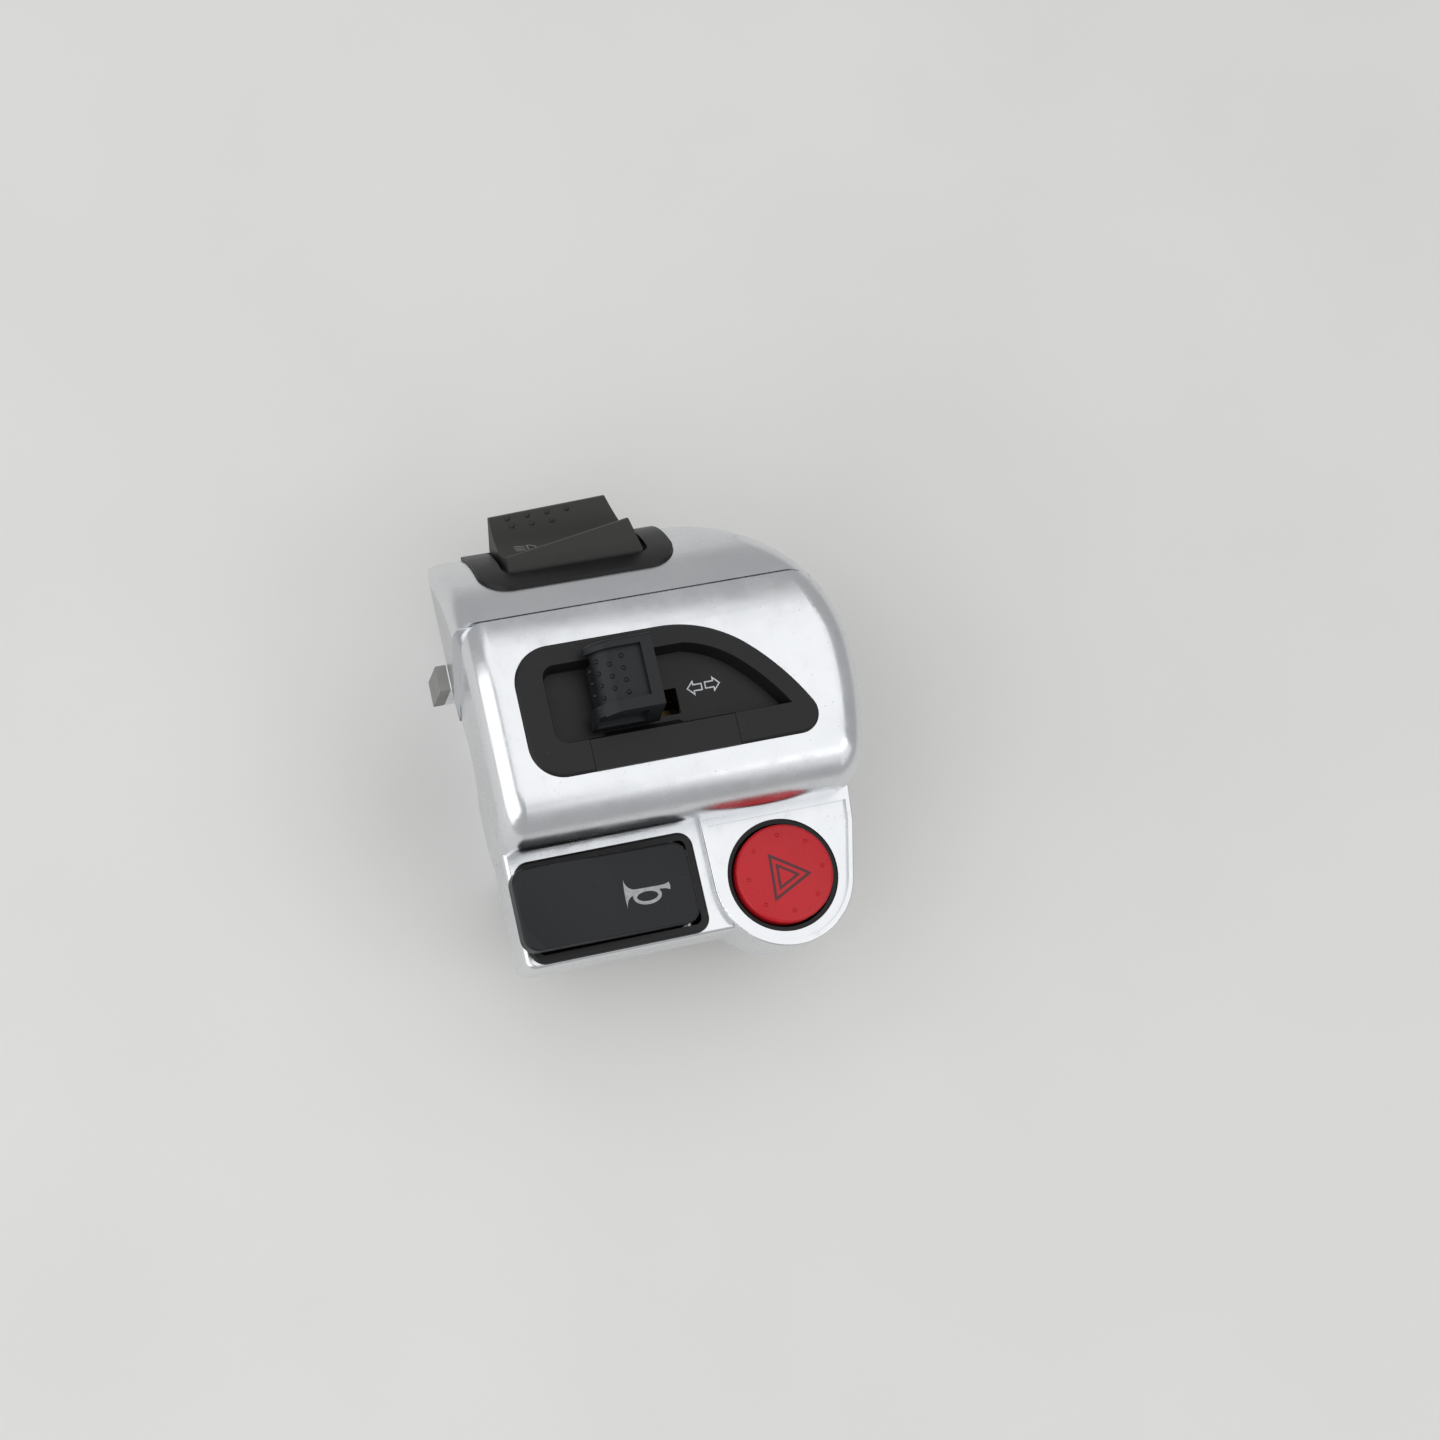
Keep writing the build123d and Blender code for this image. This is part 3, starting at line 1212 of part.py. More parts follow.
# Three slotted screws that hold the shells together round the handlebar
with BuildPart() as shell_screws:
    for x, offset_y in screw_places:
        add(parting_rod(x, offset_y, -screw_grip, screw_seat, screw_shank_radius))
        add(parting_rod(x, offset_y, screw_seat, screw_head_seat, screw_head_radius))
    for x, offset_y in screw_places:
        with BuildSketch(parting_plane.offset(screw_head_seat)):
            with Locations((x, offset_y)):
                Rectangle(2 * screw_head_radius, screw_slot_width)
        extrude(amount=-screw_slot_depth, mode=Mode.SUBTRACT)

# Rubber grommet for the cable
with BuildPart() as cable_grommet:
    for start, length, radius in ((grommet_pad_root - grommet_flange, grommet_flange, grommet_flange_radius),
                                  (grommet_pad_root, grommet_pad_x - grommet_pad_root, grommet_neck_radius),
                                  (grommet_pad_x, grommet_flange, grommet_flange_radius)):
        with BuildSketch(Plane.YZ.offset(start)):
            with Locations((grommet_y, grommet_z)):
                Circle(radius)
        extrude(amount=length)
    with BuildSketch(Plane.YZ.offset(grommet_pad_root - grommet_flange)):
        with Locations((grommet_y, grommet_z)):
            Circle(grommet_bore_radius)
    extrude(amount=grommet_pad_x - grommet_pad_root + 2 * grommet_flange, mode=Mode.SUBTRACT)

# Export
rear_shell.part.label = "rear_shell"
export_step(rear_shell.part, "parts/rear_shell.step")
front_shell.part.label = "front_shell"
export_step(front_shell.part, "parts/front_shell.step")
shell_screws.part.label = "shell_screws"
export_step(shell_screws.part, "parts/shell_screws.step")
turn_bezel.part.label = "turn_bezel"
export_step(turn_bezel.part, "parts/turn_bezel.step")
turn_bezel_strip.part.label = "turn_bezel_strip"
export_step(turn_bezel_strip.part, "parts/turn_bezel_strip.step")
turn_knob.part.label = "turn_knob"
export_step(turn_knob.part, "parts/turn_knob.step")
turn_carriage.part.label = "turn_carriage"
export_step(turn_carriage.part, "parts/turn_carriage.step")
turn_push_spring.part.label = "turn_push_spring"
export_step(turn_push_spring.part, "parts/turn_push_spring.step")
turn_detent_ball.part.label = "turn_detent_ball"
export_step(turn_detent_ball.part, "parts/turn_detent_ball.step")
turn_detent_spring.part.label = "turn_detent_spring"
export_step(turn_detent_spring.part, "parts/turn_detent_spring.step")
turn_contact_bridge.part.label = "turn_contact_bridge"
export_step(turn_contact_bridge.part, "parts/turn_contact_bridge.step")
turn_contacts.part.label = "turn_contacts"
export_step(turn_contacts.part, "parts/turn_contacts.step")
turn_switch_body.part.label = "turn_switch_body"
export_step(turn_switch_body.part, "parts/turn_switch_body.step")
turn_screws.part.label = "turn_screws"
export_step(turn_screws.part, "parts/turn_screws.step")
horn_frame.part.label = "horn_frame"
export_step(horn_frame.part, "parts/horn_frame.step")
horn_button.part.label = "horn_button"
export_step(horn_button.part, "parts/horn_button.step")
horn_hinge_pin.part.label = "horn_hinge_pin"
export_step(horn_hinge_pin.part, "parts/horn_hinge_pin.step")
horn_plunger.part.label = "horn_plunger"
export_step(horn_plunger.part, "parts/horn_plunger.step")
horn_contact_disc.part.label = "horn_contact_disc"
export_step(horn_contact_disc.part, "parts/horn_contact_disc.step")
horn_spring.part.label = "horn_spring"
export_step(horn_spring.part, "parts/horn_spring.step")
horn_switch_body.part.label = "horn_switch_body"
export_step(horn_switch_body.part, "parts/horn_switch_body.step")
horn_contacts.part.label = "horn_contacts"
export_step(horn_contacts.part, "parts/horn_contacts.step")
hazard_collar.part.label = "hazard_collar"
export_step(hazard_collar.part, "parts/hazard_collar.step")
hazard_button.part.label = "hazard_button"
export_step(hazard_button.part, "parts/hazard_button.step")
hazard_spring.part.label = "hazard_spring"
export_step(hazard_spring.part, "parts/hazard_spring.step")
hazard_contact_disc.part.label = "hazard_contact_disc"
export_step(hazard_contact_disc.part, "parts/hazard_contact_disc.step")
hazard_switch_body.part.label = "hazard_switch_body"
export_step(hazard_switch_body.part, "parts/hazard_switch_body.step")
hazard_contacts.part.label = "hazard_contacts"
export_step(hazard_contacts.part, "parts/hazard_contacts.step")
beam_bezel.part.label = "beam_bezel"
export_step(beam_bezel.part, "parts/beam_bezel.step")
beam_pivot_pin.part.label = "beam_pivot_pin"
export_step(beam_pivot_pin.part, "parts/beam_pivot_pin.step")
beam_rocker.part.label = "beam_rocker"
export_step(beam_rocker.part, "parts/beam_rocker.step")
beam_plunger.part.label = "beam_plunger"
export_step(beam_plunger.part, "parts/beam_plunger.step")
beam_spring.part.label = "beam_spring"
export_step(beam_spring.part, "parts/beam_spring.step")
beam_contact_plate.part.label = "beam_contact_plate"
export_step(beam_contact_plate.part, "parts/beam_contact_plate.step")
beam_contact_pin.part.label = "beam_contact_pin"
export_step(beam_contact_pin.part, "parts/beam_contact_pin.step")
beam_switch_body.part.label = "beam_switch_body"
export_step(beam_switch_body.part, "parts/beam_switch_body.step")
beam_contacts.part.label = "beam_contacts"
export_step(beam_contacts.part, "parts/beam_contacts.step")
cable_grommet.part.label = "cable_grommet"
export_step(cable_grommet.part, "parts/cable_grommet.step")
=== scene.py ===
import json
import math

import bpy
from mathutils import Matrix, Vector
from mathutils.geometry import tessellate_polygon


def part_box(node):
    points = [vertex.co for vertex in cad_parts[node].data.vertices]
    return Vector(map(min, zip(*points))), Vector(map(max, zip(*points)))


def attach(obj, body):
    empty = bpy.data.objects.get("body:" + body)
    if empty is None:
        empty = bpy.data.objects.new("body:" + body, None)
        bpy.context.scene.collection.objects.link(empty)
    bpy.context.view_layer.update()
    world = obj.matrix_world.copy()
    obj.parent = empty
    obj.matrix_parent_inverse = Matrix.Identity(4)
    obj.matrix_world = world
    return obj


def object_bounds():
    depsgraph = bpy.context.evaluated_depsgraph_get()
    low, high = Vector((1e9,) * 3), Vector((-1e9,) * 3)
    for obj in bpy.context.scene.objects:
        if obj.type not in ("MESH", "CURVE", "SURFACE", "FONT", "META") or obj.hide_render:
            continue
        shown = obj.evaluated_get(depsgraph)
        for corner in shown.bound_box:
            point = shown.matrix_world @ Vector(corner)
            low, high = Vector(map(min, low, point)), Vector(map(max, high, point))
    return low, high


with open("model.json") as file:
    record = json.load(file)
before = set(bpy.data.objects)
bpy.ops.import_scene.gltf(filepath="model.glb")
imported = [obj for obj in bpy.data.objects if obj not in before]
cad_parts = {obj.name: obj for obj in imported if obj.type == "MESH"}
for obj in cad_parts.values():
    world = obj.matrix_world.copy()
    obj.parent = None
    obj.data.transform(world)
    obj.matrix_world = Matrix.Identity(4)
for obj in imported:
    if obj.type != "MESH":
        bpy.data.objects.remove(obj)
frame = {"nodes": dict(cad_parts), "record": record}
cad_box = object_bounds()

# Everything is in metres, in the frame of the CAD model. Sizes given in millimetres are
# multiplied by mm.
mm = 0.001
floor_height = cad_box[0][2]
joints = {joint["name"]: joint for joint in frame["record"]["behaviour"]["joints"]}

# Camera, at the photograph's viewing angle
camera_place = Vector((-92.816, -76.819, 409.523)) * mm
view_slope_x = 0.25
view_slope_y = 0.18
camera_roll = math.radians(10.5)
camera_lens = 64.0
camera_sensor = 36.0
camera_clip_start = 0.01
camera_clip_end = 20


def make_camera():
    """Camera that looks down on the switch face from its outboard, lower corner."""
    view_slope_z = -math.sqrt(1 - view_slope_x ** 2 - view_slope_y ** 2)
    view = Vector((view_slope_x, view_slope_y, view_slope_z))
    level = (Vector((1, 0, 0)) - view.x * view).normalized()
    upright = (-view).cross(level)
    right = level * math.cos(camera_roll) - upright * math.sin(camera_roll)
    up = level * math.sin(camera_roll) + upright * math.cos(camera_roll)
    turn = Matrix((right, up, -view)).transposed().to_4x4()
    data = bpy.data.cameras.new("camera")
    data.lens = camera_lens
    data.sensor_width = camera_sensor
    data.sensor_fit = "HORIZONTAL"
    data.clip_start = camera_clip_start
    data.clip_end = camera_clip_end
    camera = bpy.data.objects.new("camera", data)
    camera.matrix_world = Matrix.Translation(camera_place) @ turn
    bpy.context.scene.collection.objects.link(camera)
    bpy.context.scene.camera = camera


make_camera()


class Finish:
    """Node material that is built up from a few steps."""

    def __init__(self, name):
        self.material = bpy.data.materials.new(name)
        self.material.use_nodes = True
        self.tree = self.material.node_tree
        self.shader = self.tree.nodes["Principled BSDF"]
        self.place = self.tree.nodes.new("ShaderNodeTexCoord").outputs["Object"]
        self.normal = None

    def link(self, source, target):
        """Wire from one socket to another."""
        self.tree.links.new(source, target)

    def mapped(self, scales):
        """Place on the piece, scaled along each axis."""
        mapping = self.tree.nodes.new("ShaderNodeMapping")
        mapping.inputs["Scale"].default_value = scales
        self.link(self.place, mapping.inputs["Vector"])
        return mapping.outputs["Vector"]

    def noise(self, size, detail=4.0, roughness=0.5, stretch=(1, 1, 1)):
        """Noise whose features are about as wide as size, in metres."""
        noise = self.tree.nodes.new("ShaderNodeTexNoise")
        noise.inputs["Scale"].default_value = 1.0
        noise.inputs["Detail"].default_value = detail
        noise.inputs["Roughness"].default_value = roughness
        self.link(self.mapped([1 / (size * share) for share in stretch]), noise.inputs["Vector"])
        return noise.outputs["Fac"]

    def spots(self, pitch, share, soft_edge=0.4):
        """1 inside small scattered round spots, 0 elsewhere."""
        cells = self.tree.nodes.new("ShaderNodeTexVoronoi")
        cells.inputs["Scale"].default_value = 1.0
        self.link(self.mapped([1 / pitch] * 3), cells.inputs["Vector"])
        return self.span(cells.outputs["Distance"], share, share * soft_edge, 0, 1)

    def span(self, value, low, high, out_low, out_high):
        """Value between low and high spread between out_low and out_high."""
        spread = self.tree.nodes.new("ShaderNodeMapRange")
        spread.inputs["From Min"].default_value = low
        spread.inputs["From Max"].default_value = high
        spread.inputs["To Min"].default_value = out_low
        spread.inputs["To Max"].default_value = out_high
        self.link(value, spread.inputs["Value"])
        return spread.outputs["Result"]

    def mix(self, share, first, second):
        """Colour between two colours, either of which may be a socket."""
        mix = self.tree.nodes.new("ShaderNodeMix")
        mix.data_type = "RGBA"
        self.link(share, mix.inputs["Factor"])
        for colour, socket in ((first, mix.inputs["A"]), (second, mix.inputs["B"])):
            if isinstance(colour, tuple):
                socket.default_value = (*colour, 1)
            else:
                self.link(colour, socket)
        return mix.outputs["Result"]

    def maths(self, operation, first, second):
        """Sum or product of two values, either of which may be a socket."""
        node = self.tree.nodes.new("ShaderNodeMath")
        node.operation = operation
        for value, socket in ((first, node.inputs[0]), (second, node.inputs[1])):
            if isinstance(value, (int, float)):
                socket.default_value = value
            else:
                self.link(value, socket)
        return node.outputs["Value"]

    def bump(self, height, depth):
        """Bump whose full height is depth, in metres, on top of the bumps before it."""
        node = self.tree.nodes.new("ShaderNodeBump")
        node.inputs["Strength"].default_value = 1.0
        node.inputs["Distance"].default_value = depth
        self.link(height, node.inputs["Height"])
        if self.normal is not None:
            self.link(self.normal, node.inputs["Normal"])
        self.normal = node.outputs["Normal"]
        self.link(self.normal, self.shader.inputs["Normal"])

    def colour(self, value):
        """Base colour from a socket."""
        self.link(value, self.shader.inputs["Base Color"])

    def roughness(self, value):
        """Roughness from a socket."""
        self.link(value, self.shader.inputs["Roughness"])

    def set(self, socket, value):
        """The same value all over the piece."""
        self.shader.inputs[socket].default_value = value

    def position(self, axis):
        """Place along one axis, in metres."""
        split = self.tree.nodes.new("ShaderNodeSeparateXYZ")
        self.link(self.place, split.inputs["Vector"])
        return split.outputs[axis]


# Noise stays mostly between these values, so a span between them gives its full range
noise_low = 0.3
noise_high = 0.7

# Plated casting: colours, pits, and painted shade on the end face of its lug
plate_colours = ((0.7, 0.715, 0.74), (0.8, 0.81, 0.825))
plate_cloud_size = 11 * mm
smudge_colour = (0.42, 0.42, 0.43)
smudge_size = 4 * mm
smudge_strength = 0.35
pit_colour = (0.2, 0.2, 0.2)
pit_pitch = 1.7 * mm
pit_share = 0.06
pit_strength = 0.45
pit_depth = 0.02 * mm
plate_wave = 5 * mm
plate_wave_depth = 0.012 * mm
plate_roughness = (0.2, 0.32)
# Painted shade: a darker colour stands for the shadow on the lug's end face, outboard of the start x
lug_end_painted_shade = (0.3, 0.3, 0.29)
lug_end_roughness = 0.25
lug_shade_start_x = -30.45 * mm
lug_shade_full_x = -30.6 * mm


def plated_metal(name):
    """Satin plated casting with fine pits, smudges and painted shade on the end face of its lug."""
    finish = Finish(name)
    cloud = finish.noise(plate_cloud_size, detail=5)
    pits = finish.spots(pit_pitch, pit_share)
    smudge = finish.noise(smudge_size, detail=6, roughness=0.6)
    plate = finish.mix(cloud, *plate_colours)
    plate = finish.mix(finish.span(smudge, 0.62, 0.8, 0, smudge_strength), plate, smudge_colour)
    plate = finish.mix(finish.maths("MULTIPLY", pits, pit_strength), plate, pit_colour)
    # Mask of the lug's end face: it blends in the painted shade colour and adds a little roughness
    lug_end_shade = finish.span(finish.position("X"), lug_shade_start_x, lug_shade_full_x, 0, 1)
    finish.colour(finish.mix(lug_end_shade, plate, lug_end_painted_shade))
    polish = finish.span(smudge, 0.35, 0.75, *plate_roughness)
    finish.roughness(finish.maths("ADD", polish, finish.maths("MULTIPLY", lug_end_shade, lug_end_roughness)))
    finish.set("Metallic", 1.0)
    finish.bump(finish.noise(plate_wave, detail=3), plate_wave_depth)
    finish.bump(finish.maths("MULTIPLY", pits, -1.0), pit_depth)
    return finish.material


# Moulded plastics: dust, scuffs and gloss that all of them share
plastic_cloud_size = 7 * mm
scuff_size = 2.2 * mm
scuff_colour = (0.24, 0.23, 0.22)
dust_pitch = 1.3 * mm
dust_share = 0.05
dust_colour = (0.5, 0.5, 0.5)
plastic_gloss = 0.3


def moulded_plastic(name, dark, light, rough, grain, depth, scuff, dust=0.0):
    """Moulded plastic with a fine grain, a little dust and scuffed patches."""
    finish = Finish(name)
    cloud = finish.noise(plastic_cloud_size, detail=6, roughness=0.6)
    base = finish.mix(cloud, dark, light)
    wear = finish.span(finish.noise(scuff_size, detail=8, roughness=0.7), 0.6, 0.85, 0, scuff)
    base = finish.mix(wear, base, scuff_colour)
    if dust > 0:
        specks = finish.spots(dust_pitch, dust_share)
        base = finish.mix(finish.maths("MULTIPLY", specks, dust), base, dust_colour)
    finish.colour(base)
    finish.roughness(finish.span(cloud, noise_low, noise_high, rough - 0.05, rough + 0.07))
    finish.set("Specular IOR Level", plastic_gloss)
    finish.bump(finish.noise(grain, detail=3), depth)
    return finish.material


# Red plastic of the hazard button
red_colours = ((0.46, 0.007, 0.014), (0.54, 0.012, 0.02))
red_cloud_size = 5 * mm
stain_colour = (0.27, 0.014, 0.022)
stain_size = 3.5 * mm
stain_strength = 0.5
red_roughness = (0.22, 0.34)
red_depth = (1.2 * mm, 0.2 * mm, 0.15 * mm)
red_grain = 0.5 * mm
red_grain_depth = 0.004 * mm


def red_plastic(name):
    """Slightly clear red plastic, polished by use."""
    finish = Finish(name)
    cloud = finish.noise(red_cloud_size, detail=5)
    base = finish.mix(cloud, *red_colours)
    stain = finish.span(finish.noise(stain_size, detail=6, roughness=0.65), 0.6, 0.8, 0, stain_strength)
    finish.colour(finish.mix(stain, base, stain_colour))
    finish.roughness(finish.span(cloud, noise_low, noise_high, *red_roughness))
    finish.set("Subsurface Weight", 0.12)
    finish.set("Subsurface Radius", red_depth)
    finish.set("Specular IOR Level", plastic_gloss)
    finish.set("Coat Weight", 0.08)
    finish.set("Coat Roughness", 0.12)
    finish.bump(finish.noise(red_grain, detail=3), red_grain_depth)
    return finish.material


streak_size = 0.5 * mm
streak_depth = 0.004 * mm


def bare_metal(name, dark, light, rough, streak):
    """Drawn, turned or stamped metal with fine streaks."""
    finish = Finish(name)
    lines = finish.noise(streak_size, detail=4, stretch=streak)
    finish.colour(finish.mix(lines, dark, light))
    finish.roughness(finish.span(lines, noise_low, noise_high, rough - 0.06, rough + 0.08))
    finish.set("Metallic", 1.0)
    finish.bump(lines, streak_depth)
    return finish.material


ink_wear_size = 0.5 * mm
ink_wear_depth = 0.003 * mm


def print_ink(name, dark, light, rough):
    """Pad-printed ink, worn thin in places."""
    finish = Finish(name)
    wear = finish.noise(ink_wear_size, detail=5, roughness=0.6)
    finish.colour(finish.mix(finish.span(wear, 0.35, 0.65, 0, 1), dark, light))
    finish.roughness(finish.span(wear, noise_low, noise_high, rough, rough + 0.1))
    finish.bump(wear, ink_wear_depth)
    return finish.material


# Finish of each material slot
plastic_looks = {
    "black_bezel": dict(dark=(0.007, 0.007, 0.008), light=(0.013, 0.013, 0.014), rough=0.4,
                        grain=0.35 * mm, depth=0.006 * mm, scuff=0.04, dust=0.25),
    "black_button": dict(dark=(0.008, 0.009, 0.011), light=(0.014, 0.015, 0.018), rough=0.38,
                         grain=0.3 * mm, depth=0.005 * mm, scuff=0.03, dust=0.2),
    "grey_rocker": dict(dark=(0.03, 0.029, 0.028), light=(0.042, 0.04, 0.038), rough=0.5,
                        grain=0.3 * mm, depth=0.012 * mm, scuff=0.05),
    "dark_nylon": dict(dark=(0.02, 0.02, 0.021), light=(0.035, 0.035, 0.036), rough=0.5,
                       grain=0.3 * mm, depth=0.01 * mm, scuff=0.05),
    "pale_nylon": dict(dark=(0.6, 0.58, 0.52), light=(0.7, 0.68, 0.62), rough=0.45,
                       grain=0.3 * mm, depth=0.008 * mm, scuff=0.08),
    "grommet_rubber": dict(dark=(0.016, 0.016, 0.016), light=(0.026, 0.026, 0.026), rough=0.7,
                           grain=0.4 * mm, depth=0.015 * mm, scuff=0.05),
}
metal_looks = {
    "spring_steel": dict(dark=(0.42, 0.42, 0.42), light=(0.58, 0.58, 0.58), rough=0.3, streak=(1, 1, 1)),
    "zinc_steel": dict(dark=(0.5, 0.51, 0.5), light=(0.66, 0.67, 0.66), rough=0.34, streak=(1, 1, 3)),
    "contact_brass": dict(dark=(0.6, 0.4, 0.16), light=(0.78, 0.56, 0.25), rough=0.3, streak=(4, 1, 1)),
}
finishes = {name: moulded_plastic(name, **look) for name, look in plastic_looks.items()}
finishes.update({name: bare_metal(name, **look) for name, look in metal_looks.items()})
finishes["plated_shell"] = plated_metal("plated_shell")
finishes["red_button"] = red_plastic("red_button")
slot_of = {part["node"]: part["material_slot"] for part in frame["record"]["subparts"]}
for node, piece in frame["nodes"].items():
    for place in piece.material_slots:
        place.material = finishes[slot_of[node]]

symbol_grey = print_ink("symbol_grey", (0.3, 0.31, 0.31), (0.42, 0.43, 0.43), 0.45)
symbol_white = print_ink("symbol_white", (0.5, 0.52, 0.55), (0.72, 0.74, 0.77), 0.4)
symbol_maroon = print_ink("symbol_maroon", (0.05, 0.008, 0.012), (0.09, 0.012, 0.018), 0.35)
symbol_faint = print_ink("symbol_faint", (0.16, 0.155, 0.15), (0.25, 0.24, 0.235), 0.5)

# Printed symbols: thin inked shapes that lie on the moulded surfaces. Their outlines are in
# millimetres, and a surface function gives the point of the model under each of their points.
# An offset of 1 puts the whole thickness above the surface, and -1 puts it below.
ink_thickness = 0.03 * mm
ink_offset = 0.4
ink_step = 0.45


def joint_place(name):
    """Place of a joint, in millimetres."""
    return Vector(joints[name]["pos_m"]) / mm


def inked(name, shapes, surface, ink, body):
    """Flat shapes, each an outline with any holes, laid on a surface and given a thickness."""
    corners = []
    faces = []
    for shape in shapes:
        loops = [[Vector((x, y, 0)) for x, y in loop] for loop in shape]
        start = len(corners)
        flat = [corner for loop in loops for corner in loop]
        corners.extend(surface(corner.x, corner.y) for corner in flat)
        for triangle in tessellate_polygon(loops):
            a, b, c = (flat[i] for i in triangle)
            turned = (b - a).cross(c - a).z > 0
            faces.append([start + i for i in (triangle if turned else reversed(triangle))])
    mesh = bpy.data.meshes.new(name)
    mesh.from_pydata([corner * mm for corner in corners], [], faces)
    piece = bpy.data.objects.new(name, mesh)
    bpy.context.scene.collection.objects.link(piece)
    solid = piece.modifiers.new("thickness", "SOLIDIFY")
    solid.thickness = ink_thickness
    solid.offset = ink_offset
    mesh.materials.append(ink)
    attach(piece, body)


def ring_of(points):
    """Closed outline with extra points, so that it can bend with a curved surface."""
    outline = []
    for start, end in zip(points, points[1:] + points[:1]):
        steps = max(1, round(math.dist(start, end) / ink_step))
        for step in range(steps):
            share = step / steps
            outline.append(tuple(a + (b - a) * share for a, b in zip(start, end)))
    return outline


def arc(centre, size, first, last, count):
    """Points on an ellipse, from one angle in degrees to another."""
    turns = [math.radians(first + (last - first) * step / (count - 1)) for step in range(count)]
    return [(centre[0] + size[0] * math.cos(turn), centre[1] + size[1] * math.sin(turn)) for turn in turns]


# Turn signal arrows, outlined, on the floor of the sunk field
field_depth = 3.3
field_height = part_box("turn_bezel")[1].z / mm - field_depth
arrow_length = 2.6
arrow_height = 2.6
arrow_shaft = 1.2
arrow_head = 1.25
arrow_line = 0.2
left_arrow_tip = (4.0, 1.75)
right_arrow_tip = (9.6, 1.85)


def arrow_outline(inset):
    """Arrow that points left from its tip at the origin, moved inwards."""
    slope = arrow_height / 2 / arrow_head
    tip = inset * math.sqrt(1 + slope ** 2) / slope
    back = arrow_head - inset
    wing = (back - tip) * slope
    half_shaft = arrow_shaft / 2 - inset
    end = arrow_length - inset
    return [(tip, 0), (back, -wing), (back, -half_shaft), (end, -half_shaft), (end, half_shaft),
            (back, half_shaft), (back, wing)]


def field_surface(x, y):
    """Point on the floor of the sunk field."""
    return Vector((x, y, field_height))


def make_arrows():
    """Two arrows that point away from each other."""
    shapes = []
    for (tip_x, tip_y), facing in ((left_arrow_tip, 1), (right_arrow_tip, -1)):
        shapes.append([[(tip_x + facing * x, tip_y + y) for x, y in arrow_outline(inset)]
                       for inset in (0, arrow_line)])
    inked("turn_arrows", shapes, field_surface, symbol_white, "housing")


# Horn symbol on the horn button's tilted top, measured from the button's hinge
horn_tilt = math.radians(7.0)
horn_under = 1.6
horn_thickness = 2.6
horn_hinge = joint_place("horn_press")
bell_top_centre = (-8.6, 1.95)
bell_top_size = (1.75, 1.8)
bell_low_centre = (-9.1, -2.75)
bell_low_size = (1.45, 2.0)
bell_mouth = [(-10.6, -1.2), (-10.55, 0.3)]
mouthpiece = [(-4.6, 0.12), (-3.75, 0.16), (-2.95, 0.42), (-2.85, -0.18), (-2.95, -0.78), (-3.7, -0.5),
              (-4.6, -0.42)]
tube_centre = (-6.9, -1.15)
tube_size = (2.4, 1.38)
tube_hole_centre = (-6.9, -1.22)
tube_hole_size = (1.8, 0.78)


def horn_surface(x, y):
    """Point on the horn button's top."""
    along = Vector((math.cos(horn_tilt), 0, -math.sin(horn_tilt)))
    out = Vector((math.sin(horn_tilt), 0, math.cos(horn_tilt)))
    return horn_hinge + along * x + Vector((0, y, 0)) + out * (horn_under + horn_thickness)


def make_horn_symbol():
    """Horn with a flared bell, a looped tube and a mouthpiece."""
    outline = arc(bell_top_centre, bell_top_size, 178, 270, 9)
    outline += mouthpiece
    outline += arc(tube_centre, tube_size, 28, -205, 30)
    outline += arc(bell_low_centre, bell_low_size, 90, 178, 9)
    outline += bell_mouth
    hole = arc(tube_hole_centre, tube_hole_size, 0, 345, 24)
    inked("horn_symbol", [[outline, hole]], horn_surface, symbol_grey, "horn_button")


# Warning triangle on the hazard button's dome, measured from the button's axis
cap_radius = 8.0
dome_rise = 0.6
dome_radius = (cap_radius ** 2 + dome_rise ** 2) / (2 * dome_rise)
hazard_low, hazard_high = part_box("hazard_button")
hazard_top = Vector(((hazard_low.x + hazard_high.x) / 2, (hazard_low.y + hazard_high.y) / 2,
                     hazard_high.z)) / mm
triangle_size = 4.5
triangle_turn = -4.0
triangle_shift = (-0.28, -0.5)
triangle_rings = ((1.0, 0.8), (0.56, 0.38))


def dome_surface(x, y):
    """Point on the hazard button's dome."""
    drop = dome_radius - math.sqrt(dome_radius ** 2 - x ** 2 - y ** 2)
    return hazard_top + Vector((x, y, -drop))


def triangle_outline(size):
    """Triangle whose corners lie on a circle, with one corner towards the inboard end."""
    turns = [math.radians(triangle_turn + turn) for turn in (0, 120, 240)]
    return ring_of([(triangle_shift[0] + triangle_size * size * math.cos(turn),
                     triangle_shift[1] + triangle_size * size * math.sin(turn)) for turn in turns])


def make_triangle():
    """Two triangles, one inside the other, both drawn as a line."""
    shapes = [[triangle_outline(size) for size in ring] for ring in triangle_rings]
    inked("hazard_triangle", shapes, dome_surface, symbol_maroon, "hazard_button")


# Beam symbols in the valley of the rocker's saddle, measured from the middle of the rocker
beam_turn = math.radians(61.0)
beam_out = Vector((0, math.sin(beam_turn), math.cos(beam_turn)))
beam_down = Vector((0, math.cos(beam_turn), -math.sin(beam_turn)))
beam_pivot_depth = 3.0
beam_centre = joint_place("beam_tilt") + beam_out * beam_pivot_depth
beam_width = 22.2
beam_depth = 15.0
beam_side_lean = 0.5
ridge_width = 0.8
saddle_reach = beam_depth / 2 - beam_side_lean - ridge_width
valley_rise = 1.3
far_left_rise = 5.5
far_right_rise = 6.3
near_left_rise = 1.7
near_right_rise = 5.2
ink_lift = 0.02
beam_line = 0.22
lamp_size = 1.15
lamp_bow = 1.1
lamp_beams = 4
lamp_beam_start = 0.45
lamp_beam_end = 2.1
lamp_beam_spread = 0.8
dipped_lamp = (-6.2, -0.6)
dipped_drop = 0.35
main_lamp = (6.6, 0.2)


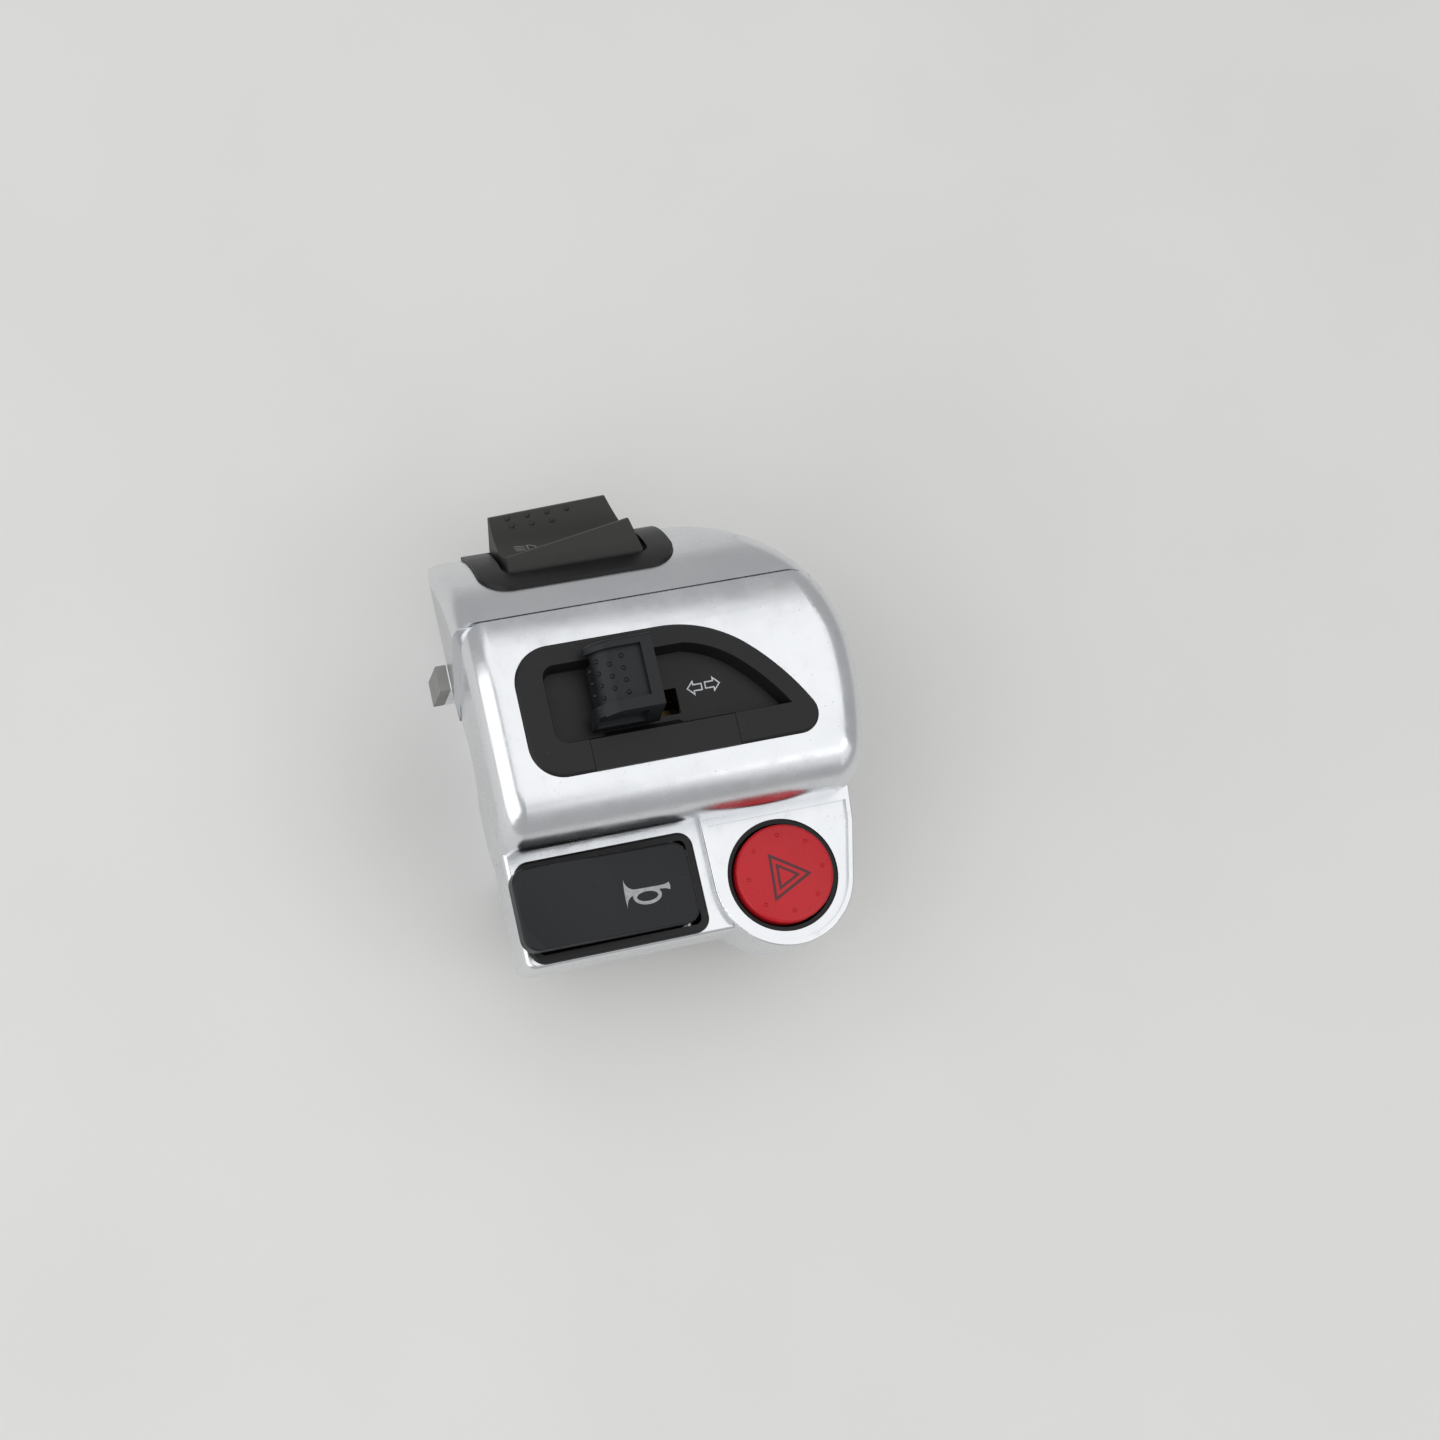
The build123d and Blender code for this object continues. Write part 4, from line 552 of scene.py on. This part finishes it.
def saddle_rise(x, y):
    """Height of the saddle, from the circle through its valley and its two ridges."""
    share = x / beam_width + 0.5
    far = far_left_rise + (far_right_rise - far_left_rise) * share - valley_rise
    near = near_left_rise + (near_right_rise - near_left_rise) * share - valley_rise
    far_sum = (saddle_reach ** 2 + far ** 2) / 2
    near_sum = (saddle_reach ** 2 + near ** 2) / 2
    centre_rise = (far_sum + near_sum) / (far + near)
    centre_y = (far_sum - centre_rise * far) / saddle_reach
    radius = math.hypot(centre_y, centre_rise)
    return valley_rise + centre_rise - math.sqrt(radius ** 2 - (y - centre_y) ** 2)


def saddle_surface(x, y):
    """Point just above the rocker's saddle."""
    return beam_centre + Vector((x, 0, 0)) + beam_down * y + beam_out * (saddle_rise(x, y) + ink_lift)


def stroke(start, end):
    """Line of a symbol as a closed outline."""
    a, b = Vector(start), Vector(end)
    run = b - a
    side = Vector((-run.y, run.x)).normalized() * beam_line / 2
    return [ring_of([tuple(a - side), tuple(b - side), tuple(b + side), tuple(a + side)])]


def lamp_symbol(lamp, drop):
    """Lamp shape with its beams, as strokes. The beams end lower than they start by drop."""
    x, y = lamp
    bow = arc(lamp, (lamp_size * lamp_bow, lamp_size), -90, 90, 13)
    strokes = [stroke(a, b) for a, b in zip(bow, bow[1:])]
    strokes.append(stroke((x, y - lamp_size), (x, y + lamp_size)))
    for beam in range(lamp_beams):
        beam_y = y + lamp_size * lamp_beam_spread * (1 - 2 * beam / (lamp_beams - 1))
        strokes.append(stroke((x - lamp_beam_start, beam_y), (x - lamp_beam_end, beam_y + drop)))
    return strokes


def make_beam_symbols():
    """Dipped beam and main beam, side by side."""
    strokes = lamp_symbol(dipped_lamp, dipped_drop) + lamp_symbol(main_lamp, 0.0)
    inked("beam_symbols", strokes, saddle_surface, symbol_faint, "beam_rocker")


make_arrows()
make_horn_symbol()
make_triangle()
make_beam_symbols()

# Pale floor
floor_reach = 1.5
floor_cloud_size = 60 * mm
floor_colours = ((0.72, 0.715, 0.7), (0.79, 0.785, 0.77))
floor_roughness = 0.6


def make_floor():
    """Large square under the object."""
    mesh = bpy.data.meshes.new("floor")
    mesh.from_pydata([(x * floor_reach, y * floor_reach, floor_height)
                      for x, y in ((-1, -1), (1, -1), (1, 1), (-1, 1))], [], [(0, 1, 2, 3)])
    floor = bpy.data.objects.new("floor", mesh)
    bpy.context.scene.collection.objects.link(floor)
    finish = Finish("floor")
    finish.colour(finish.mix(finish.noise(floor_cloud_size, detail=3), *floor_colours))
    finish.set("Roughness", floor_roughness)
    mesh.materials.append(finish.material)


make_floor()

# Soft studio light: a long softbox overhead, a broad key from the outboard side and a weaker fill.
# Places and sizes are in metres, powers in watts, and all three face the object.
lamps = {
    "overhead": dict(place=(0.25, 0.15, 1.0), size=(2.0, 0.8), power=3.8),
    "key": dict(place=(-0.75, -0.15, 0.6), size=(1.2, 1.2), power=5.2),
    "fill": dict(place=(0.5, -0.5, 0.6), size=(0.7, 0.7), power=0.8),
}
world_colour = (0.94, 0.95, 0.96, 1)
world_strength = 0.46


def area_lamp(name, place, size, power):
    """Rectangular lamp that faces the object."""
    data = bpy.data.lights.new(name, "AREA")
    data.shape = "RECTANGLE"
    data.size, data.size_y = size
    data.energy = power
    lamp = bpy.data.objects.new(name, data)
    lamp.location = place
    lamp.rotation_euler = (-Vector(place)).to_track_quat("-Z", "Y").to_euler()
    bpy.context.scene.collection.objects.link(lamp)


def make_world():
    """Even light from all round."""
    world = bpy.data.worlds.new("studio")
    world.use_nodes = True
    background = world.node_tree.nodes["Background"]
    background.inputs["Color"].default_value = world_colour
    background.inputs["Strength"].default_value = world_strength
    bpy.context.scene.world = world


for lamp_name, lamp_facts in lamps.items():
    area_lamp(lamp_name, **lamp_facts)
make_world()
bpy.context.scene.view_settings.view_transform = "Standard"
